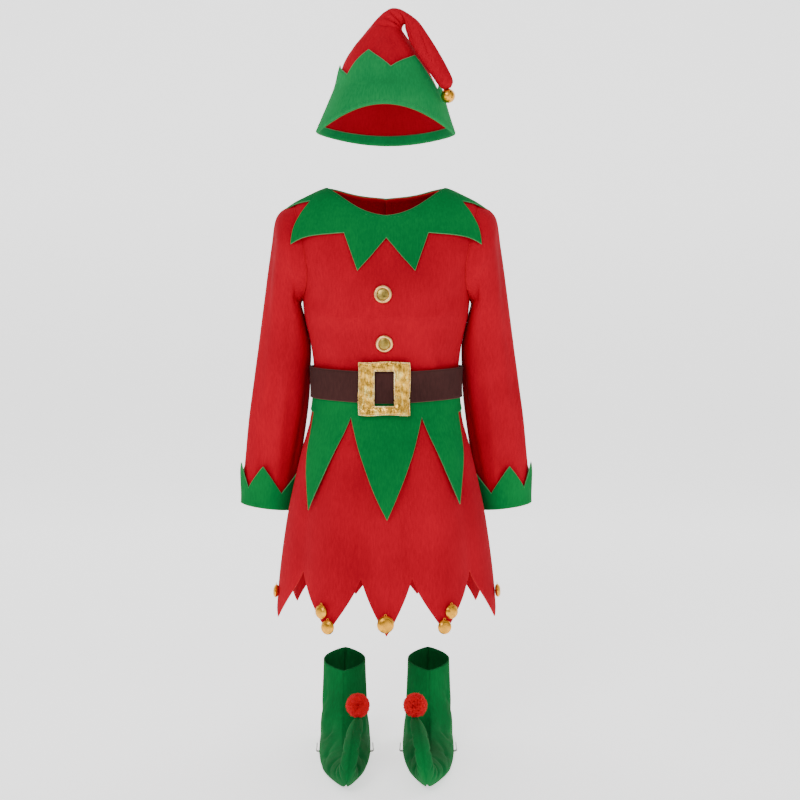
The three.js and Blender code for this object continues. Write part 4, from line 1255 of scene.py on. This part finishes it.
def square_loop(step, width, height):
    """A place on a rectangle round the middle of the buckle; steps are spread along its sides."""
    side, t = divmod(step / BUCKLE_SIDE, 1)
    t = 2 * t - 1
    corners = {0: (t, 1), 1: (1, -t), 2: (-t, -1), 3: (-1, t)}
    x, z = corners[int(side) % 4]
    return x * width / 2, z * height / 2


def buckle_place(x, z, away):
    """A place on the buckle over the belt, bent back where it passes the belt's lower edge."""
    level = clamp(z, BELT_TOP_Z - BELT_HEIGHT, BELT_TOP_Z)
    p = on_front(x, level, BUCKLE_BACK + away)
    return Vector((x, p.y - max(level - z, 0) * 0.28, z))


def buckle_point(step, across, pad):
    """A place on the padded frame of the buckle, with the small slants of a hand-sewn shape."""
    hole_x, hole_z = square_loop(step, BUCKLE["hole_width"], BUCKLE["hole_height"])
    rim_x, rim_z = square_loop(step, BUCKLE["width"], BUCKLE["height"])
    x = lerp(hole_x, rim_x, across)
    z = lerp(hole_z, rim_z, across)
    x += 0.6 * math.sin(z / 11.0) * across
    z += 0.7 * math.sin(x / 9.0 + 1.0) * across
    puff = 0.16 * math.sin(x / 3.1 + z / 7.0) * math.sin(z / 3.7 - x / 9.0) if 0.1 < across < 0.9 else 0
    return buckle_place(BUCKLE["x"] + x, BUCKLE["z"] + z, (pad + puff * min(pad, 1)) * BUCKLE["pad"])


class ELF_OT_buckle(bpy.types.Operator):
    """Builds the padded buckle with its piping and stitches."""

    bl_idname = "elf.buckle"
    bl_label = "Buckle"

    def execute(self, context):
        """Builds the pieces."""
        count = 4 * BUCKLE_SIDE
        sections = []
        for step in range(count):
            sections.append([buckle_point(step, across, pad) for across, pad in BUCKLE_SECTION])
        pad = finished(swept("buckle_padding", sections), "gold_lame", "buckle")
        for name, across, pad_height in (("outer", 0.975, 0.66), ("inner", 0.035, 0.68)):
            path = [buckle_point(step, across, pad_height) for step in range(0, count, 2)]
            finished(tube("buckle_piping_" + name, path, 0.95), "gold_rim")
        for name, across in (("inner", 0.12), ("outer", 0.88)):
            row = [buckle_point(step, across, 0.86) for step in range(0, count, 2)]
            pairs = [(start, end, Vector((0, -1, 0))) for start, end in zip(row[::2], row[1::2])]
            finished(sewn("buckle_stitches_" + name, pairs, 0.3), "gold_thread")
        return {"FINISHED"}


def chest_point(x, z):
    """Place on the front of the dress above the chest seen from the front at x and z."""
    low = 0.0
    high = 140.0
    while high - low > 0.002:
        y = (low + high) / 2
        rel = Vector((x, -y, z - CHEST_Z))
        reach = (upper_point(rel.normalized(), "body") - Vector((0, 0, CHEST_Z))).length
        if rel.length < reach:
            low = y
        else:
            high = y
    return Vector((x, -low, z))


def front_place(x, z):
    """Place and outward direction on the front of the dress."""
    at = (lambda a, b: on_front(a, b, 0)) if z < CHEST_Z else chest_point
    near = at(x, z)
    out = (at(x + 1, z) - near).cross(at(x, z + 1) - near).normalized()
    return near, out


BUTTONS = table("name x z radius", [
    ("button_upper", -4.8, -151.6, 12.8), ("button_lower", -2.7, -221, 12.4),
])
BUTTON_RIM = [(0.0, 0.0), (0.9, 0.0), (0.97, 0.12), (1.0, 0.36), (0.985, 0.62), (0.95, 0.83), (0.89, 0.96),
              (0.82, 1.0), (0.75, 0.96), (0.70, 0.84), (0.675, 0.68), (0.66, 0.5), (0.0, 0.5)]
BUTTON_DOME = [(0.0, 0.35), (0.66, 0.35), (0.665, 0.55), (0.64, 0.66), (0.56, 0.78), (0.44, 0.9), (0.3, 0.98),
               (0.15, 1.03), (0.0, 1.05)]
BUTTON_THICK = 4.0


class ELF_OT_buttons(bpy.types.Operator):
    """Builds the two domed buttons with their wide rims."""

    bl_idname = "elf.buttons"
    bl_label = "Buttons"

    def execute(self, context):
        """Builds the pieces."""
        for button in BUTTONS:
            near, out = front_place(button["x"], button["z"])
            turn = facing(near + out * 1.1, out)
            for part, profile in (("rim", BUTTON_RIM), ("dome", BUTTON_DOME)):
                name = button["name"] + "_" + part
                sized = [(radius * button["radius"], height * BUTTON_THICK) for radius, height in profile]
                stands_for = [button["name"]] if part == "rim" else []
                finished(new_piece(name, spun(sized, turn, 64)), "button_" + part, *stands_for)
        return {"FINISHED"}


BELLS = table("name angle z radius tilt", [
    ("bell_centre", -1, -614, 12, 4), ("bell_left_upper", 40, -600, 10, 14),
    ("bell_left_lower", 35.5, -620.5, 10, -12), ("bell_right_upper", -40, -600, 10, -10),
    ("bell_right_lower", -35.5, -620.5, 10, 16), ("bell_left_side", 83, -590, 10, 9),
    ("bell_right_side", -83, -590, 10, -8),
])
HAT_BELL = ((88.5, -35, 131.4), 10, 12)
BELL_SHARE = 0.42
BELL_CLEAR = 0.3
BELL_SHELL = {"points": 40, "full": 0.75, "waist": 0.97, "bead": 0.05, "bead_spread": 0.09}
BELL_LEDGE = {"depth": 0.1, "at": 0.8, "spread": 0.06}
BELL_SLOT = {"steps": 20, "reach": 0.6, "sink": 0.2, "width": 0.5, "end_width": 1.05}
BELL_LOOP = {"points": 20, "radius": 1.6, "away": 1.2, "wire": 0.4}


def bell_profile(radius, share):
    """Half outline of a bell; a share below 1 is a bell pressed flat, with a ledge round its dome."""
    outline = []
    count = BELL_SHELL["points"]
    flat = share < 1
    for k in range(count + 1):
        turn = math.radians(-90 + 180 * k / count)
        height = math.sin(turn)
        wide = math.cos(turn) ** (BELL_SHELL["full"] if flat else 1)
        bead = BELL_SHELL["bead"] * bell_curve(height, 0, BELL_SHELL["bead_spread"])
        ledge = 0
        if flat and height > 0:
            ledge = BELL_LEDGE["depth"] * bell_curve(wide, BELL_LEDGE["at"], BELL_LEDGE["spread"])
        reach = max(radius * (wide * BELL_SHELL["waist"] + bead), 0)
        outline.append((reach, radius * share * (height - ledge)))
    return outline


def bell_slots(radius, share, turn):
    """The two crossed slots of a bell, each a row of dark beads that end in a wider one; the dark is painted
    shade of the hollow inside.
    """
    bm = bmesh.new()
    count = BELL_SLOT["steps"]
    for spin in (45, 135):
        aim = turn @ Matrix.Rotation(math.radians(spin), 4, "Z")
        for step in range(-count, count + 1):
            across = radius * BELL_SLOT["reach"] * step / count
            lift = radius * share * (1 - (across / radius) ** 2) ** (0.5 if share == 1 else 0.66) * 0.985
            size = BELL_SLOT["width"] if abs(step) < count - 1 else BELL_SLOT["end_width"]
            grow = Matrix.Diagonal((size * MM, size * MM, 0.5 * size * MM, 1))
            move = Matrix.Translation(Vector((across, 0, lift - BELL_SLOT["sink"])) * MM)
            bmesh.ops.create_icosphere(bm, subdivisions=1, radius=1, matrix=aim @ move @ grow)
    return bm


def bell(name, centre, radius, out, share, tilt, node):
    """A bell that faces along out: two cupped halves with a bead, crossed slots and a wire loop."""
    upright = facing(centre, out)
    turn = upright @ Matrix.Rotation(math.radians(tilt), 4, "Z")
    finished(new_piece(name, spun(bell_profile(radius, share), turn)), "gold_metal", node)
    # The slot beads are painted shade, standing for the unlit hollow of the bell.
    finished(new_piece(name + "_slots", bell_slots(radius, share, turn)), "bell_inside")
    loop = []
    middle = radius * 0.98 + BELL_LOOP["away"]
    for k in range(BELL_LOOP["points"]):
        a = 2 * math.pi * k / BELL_LOOP["points"]
        lean = Vector((BELL_LOOP["radius"] * math.cos(a), middle + BELL_LOOP["radius"] * math.sin(a), 0))
        loop.append((upright @ (lean * MM)) / MM)
    finished(tube(name + "_loop", loop, BELL_LOOP["wire"]), "gold_metal")


class ELF_OT_bells(bpy.types.Operator):
    """Builds the seven bells of the hem and the bell of the hat."""

    bl_idname = "elf.bells"
    bl_label = "Bells"

    def execute(self, context):
        """Builds the pieces."""
        for row in BELLS:
            out = normal_of(lower_point, row["angle"], row["z"])
            away = row["radius"] * BELL_SHARE + 0.8 + BELL_CLEAR
            centre = lower_point(row["angle"], row["z"]) + out * away
            bell(row["name"] + "_shell", centre, row["radius"], out, BELL_SHARE, row["tilt"], row["name"])
        centre, radius, tilt = HAT_BELL
        bell("bell_hat_shell", Vector(centre), radius, Vector((0, -1, 0)), 1, tilt, "bell_hat")
        return {"FINISHED"}


def band_share(angle, row):
    """How far up the band a row of the hat lies."""
    top = point_edge(BAND_EDGE, "angle", angle, "row", tips_low=False)
    return (row - BAND_BELOW) / (top - BAND_BELOW)


class ELF_OT_hat(bpy.types.Operator):
    """Builds the hat in two halves, its pointed band and the seams."""

    bl_idname = "elf.hat"
    bl_label = "Hat"

    def execute(self, context):
        """Builds the pieces."""
        wall = settings(context).wall / MM
        last = len(HAT) - 1
        rows = steps(0, 8, 72) + steps(8, last, 130)[1:]
        creases = grid_creases(HAT_CREASES, "angle", (0.9, 22))
        for name, first in (("front", -90), ("back", 90)):
            half = cloth(
                "hat_" + name + "_cloth", hat_point, steps(first, first + 180, 72), rows, 1,
                wall=wall, creases=creases, seams=0.6)
            finished(half, "red_cloth", "hat_" + name)
        band = cloth("hat_band_cloth", band_point, edge_columns(BAND_EDGE, "angle", 14)[:-1],
                     steps(-1, -0.3, 5) + steps(-0.3, 0, 8)[1:] + steps(0, 1, 30)[1:], 1,
                     wall=wall, ring=True)
        finished(band, "band_cloth", "hat_band")
        hem = [(angle, band_share(angle, 0.26)) for angle in steps(-180, 179.9, 300)]
        line = stitches("band_stitches", band_point, hem, lift=1.0, length=2.6, gap=1.6)
        finished(line, "green_thread")
        return {"FINISHED"}


STRAP_PATH = table("x z", [
    (-39.2, -811), (-39.8, -818), (-38.9, -822.8), (-22, -823), (24.2, -823), (42.2, -822.8),
    (43.1, -818), (42.5, -811),
])
STRAP_Y = -50
STRAP_WIDTH = 6


def strap_point(across, row):
    """The elastic under the sole of the right shoe cover."""
    s = smooth_row(STRAP_PATH, row)
    return Vector((s["x"] - SHOE_X, STRAP_Y + (across - 0.5) * STRAP_WIDTH, s["z"]))


POMPOM = {"x": 22 - SHOE_X, "y": -104, "z": -737.3, "core": 9.5, "reach": 17.4}
LOCK = {"root": 0.4, "end": 0.58, "lean": 0.5, "stray": 0.09, "short": 0.5}


def pompom(name, side, locks, seed):
    """A dense pompom: many tapered yarn ends, a little uneven, standing on a small core."""
    rng = random.Random(seed)
    centre = Vector((side * POMPOM["x"], POMPOM["y"], POMPOM["z"]))
    bm = bmesh.new()
    # This layer is 0 at the roots of the locks and 1 at their tips; the yarn paints shade at the roots from
    # it.
    root_shade_layer = bm.verts.layers.float.new("edge")
    at = Matrix.Translation(centre * MM)
    bmesh.ops.create_icosphere(bm, subdivisions=3, radius=POMPOM["core"] * MM, matrix=at)
    golden = math.pi * (3 - math.sqrt(5))
    for k in range(locks):
        z = 1 - 2 * (k + 0.5) / locks
        ring = math.sqrt(1 - z * z)
        turn = golden * k
        out = Vector((ring * math.cos(turn), ring * math.sin(turn), z))
        out = (out + Vector([rng.gauss(0, LOCK["stray"]) for axis in range(3)])).normalized()
        reach = POMPOM["reach"] * (0.955 + 0.045 * rng.random()) - LOCK["short"] * rng.random() ** 3
        lean = Vector([rng.gauss(0, 1) for axis in range(3)]) * LOCK["lean"]
        root = centre + out * POMPOM["core"] * 0.8
        tip = centre + out * reach + lean
        turn = Matrix.Rotation(rng.uniform(0, 2 * math.pi), 4, "Z")
        made = bmesh.ops.create_cone(
            bm, cap_ends=True, cap_tris=False, segments=5,
            radius1=LOCK["root"] * MM, radius2=LOCK["end"] * MM,
            depth=(tip - root).length * MM, matrix=facing((root + tip) / 2, tip - root) @ turn)
        for vert in made["verts"]:
            vert[root_shade_layer] = 1.0 if (vert.co / MM - root).length > (vert.co / MM - tip).length else 0.0
    bmesh.ops.recalc_face_normals(bm, faces=bm.faces)
    return new_piece(name, bm)


class ELF_OT_shoes(bpy.types.Operator):
    """Builds both shoe covers with their gathered toes, elastics and pompoms."""

    bl_idname = "elf.shoes"
    bl_label = "Shoe covers"

    def execute(self, context):
        """Builds the pieces."""
        wall = settings(context).wall / MM
        last = len(SHOE) - 1
        rows = steps(0, 7, 70) + steps(7, last, 98)[1:]
        places = steps(0, 1, 44)
        for name, turn, side in (("right", lambda s: s, -1), ("left", mirrored, 1)):
            for part, way in (("inner", 1), ("outer", -1)):
                flank = cloth(
                    "shoe_" + name + "_" + part + "_cloth", turn(shoe_point), [way * p for p in places], rows,
                    side * way, wall=wall, creases=shoe_gathers, seams=0.35)
                finished(flank, "shoe_cloth", "shoe_" + name + "_" + part)
            strap = cloth("strap_" + name + "_band", turn(strap_point), [0, 0.5, 1], steps(0, 7, 56), -side,
                          wall=1.2)
            finished(strap, "elastic", "strap_" + name)
        locks = settings(context).pompom_locks
        for name, side, seed in (("right", 1, 3), ("left", -1, 8)):
            finished(pompom("pompom_" + name + "_yarn", side, locks, seed), "red_pompom", "pompom_" + name)
        return {"FINISHED"}


shoe_folds = grid_creases(SHOE_CREASES, "place", (60, 24))


def shoe_gathers(place, row, p):
    """Creases of a shoe cover, the same on both of its sides but for a small shift."""
    shift = 0.12 if place < 0 else 0.0
    return shoe_folds(abs(place), row + shift, p)


def soft_light(name, place, aim, power, size):
    """A soft square light that looks at a place; places in metres."""
    data = bpy.data.lights.new(name, "AREA")
    data.shape = "SQUARE"
    data.size = size
    data.energy = power
    light = bpy.data.objects.new(name, data)
    bpy.context.scene.collection.objects.link(light)
    light.location = place
    light.rotation_euler = (Vector(aim) - Vector(place)).to_track_quat("-Z", "Y").to_euler()


# Stage, in metres and degrees; a light's share is of the key light's power.
LIGHTS = table("name place aim share size", [
    ("key_light", (-1.1, -2.4, 1.5), (0, 0, -0.25), 1.0, 1.3),
    ("fill_light", (1.9, -2.2, 0.3), (0, 0, -0.3), 0.3, 2.2),
    ("top_light", (0.0, 0.4, 2.2), (0, 0, -0.2), 0.3, 1.4),
])
CAMERA = {"distance": 2.0, "height": -0.145, "down": 4.65, "right": 0.58, "view": 32.9}
FLOOR = {"half": 9.0, "bend_from": 2.0, "bend_run": 1.6, "radius": 1.0, "below": 0.0005}
WORLD_STRENGTH = 0.4


def floor_sweep():
    """The pale floor, which bends up into a wall behind the costume."""
    bm = bmesh.new()
    bmesh.ops.create_grid(bm, x_segments=2, y_segments=60, size=FLOOR["half"])
    for vert in bm.verts:
        past = vert.co.y - FLOOR["bend_from"]
        turn = clamp(past / FLOOR["bend_run"]) * math.pi / 2
        if past > 0:
            vert.co.y = FLOOR["bend_from"] + FLOOR["radius"] * math.sin(turn)
        rise = FLOOR["radius"] * (1 - math.cos(turn)) + max(past - FLOOR["bend_run"], 0)
        vert.co.z = CAD_BOX[0][2] - FLOOR["below"] + rise
    floor = bpy.data.objects.new("floor", smooth_mesh(bm, "floor"))
    bpy.context.scene.collection.objects.link(floor)
    floor.data.materials.append(matt_floor("pale_floor", shade(252, 252, 252), shade(248, 248, 248)))


class ELF_OT_stage(bpy.types.Operator):
    """Sets the pale floor, the soft studio lights and the camera."""

    bl_idname = "elf.stage"
    bl_label = "Stage"

    def execute(self, context):
        """Builds the stage."""
        floor_sweep()
        world = bpy.data.worlds.new("studio")
        world.use_nodes = True
        sky = world.node_tree.nodes["Background"].inputs
        sky["Color"].default_value = (1, 1, 1, 1)
        sky["Strength"].default_value = WORLD_STRENGTH
        context.scene.world = world
        key = settings(context).key_light
        for light in LIGHTS:
            soft_light(light["name"], light["place"], light["aim"], key * light["share"], light["size"])
        data = bpy.data.cameras.new("view")
        data.sensor_fit = "HORIZONTAL"
        data.angle = math.radians(CAMERA["view"])
        camera = bpy.data.objects.new("view", data)
        context.scene.collection.objects.link(camera)
        camera.location = (0, -CAMERA["distance"], CAMERA["height"])
        turn = Matrix.Rotation(math.radians(-CAMERA["right"]), 3, "Z")
        tilt = Matrix.Rotation(math.radians(90 - CAMERA["down"]), 3, "X")
        camera.rotation_euler = (turn @ tilt).to_euler()
        context.scene.camera = camera
        return {"FINISHED"}


class ELF_PT_costume(bpy.types.Panel):
    """The panel of the costume in the sidebar."""

    bl_idname = "ELF_PT_costume"
    bl_label = "Elf costume"
    bl_space_type = "VIEW_3D"
    bl_region_type = "UI"
    bl_category = "Elf costume"

    def draw(self, context):
        """Lists the sizes and the steps."""
        for name in ElfCostumeSettings.__annotations__:
            self.layout.prop(settings(context), name)
        for operator in OPERATORS:
            self.layout.operator(operator.bl_idname)


OPERATORS = (
    ELF_OT_dress, ELF_OT_sleeves, ELF_OT_collar, ELF_OT_waist, ELF_OT_buckle, ELF_OT_buttons, ELF_OT_bells,
    ELF_OT_hat, ELF_OT_shoes, ELF_OT_stage,
)
CLASSES = (ElfCostumeSettings,) + OPERATORS + (ELF_PT_costume,)


def register():
    """Registers the classes and the settings."""
    for cls in CLASSES:
        bpy.utils.register_class(cls)
    bpy.types.Scene.elf_costume = bpy.props.PointerProperty(type=ElfCostumeSettings)


def unregister():
    """Takes the settings and the classes away again."""
    del bpy.types.Scene.elf_costume
    for cls in reversed(CLASSES):
        bpy.utils.unregister_class(cls)


def main():
    """Builds the whole costume."""
    register()
    bpy.ops.elf.dress()
    bpy.ops.elf.sleeves()
    bpy.ops.elf.collar()
    bpy.ops.elf.waist()
    bpy.ops.elf.buckle()
    bpy.ops.elf.buttons()
    bpy.ops.elf.bells()
    bpy.ops.elf.hat()
    bpy.ops.elf.shoes()
    bpy.ops.elf.stage()


if __name__ == "__main__":
    main()
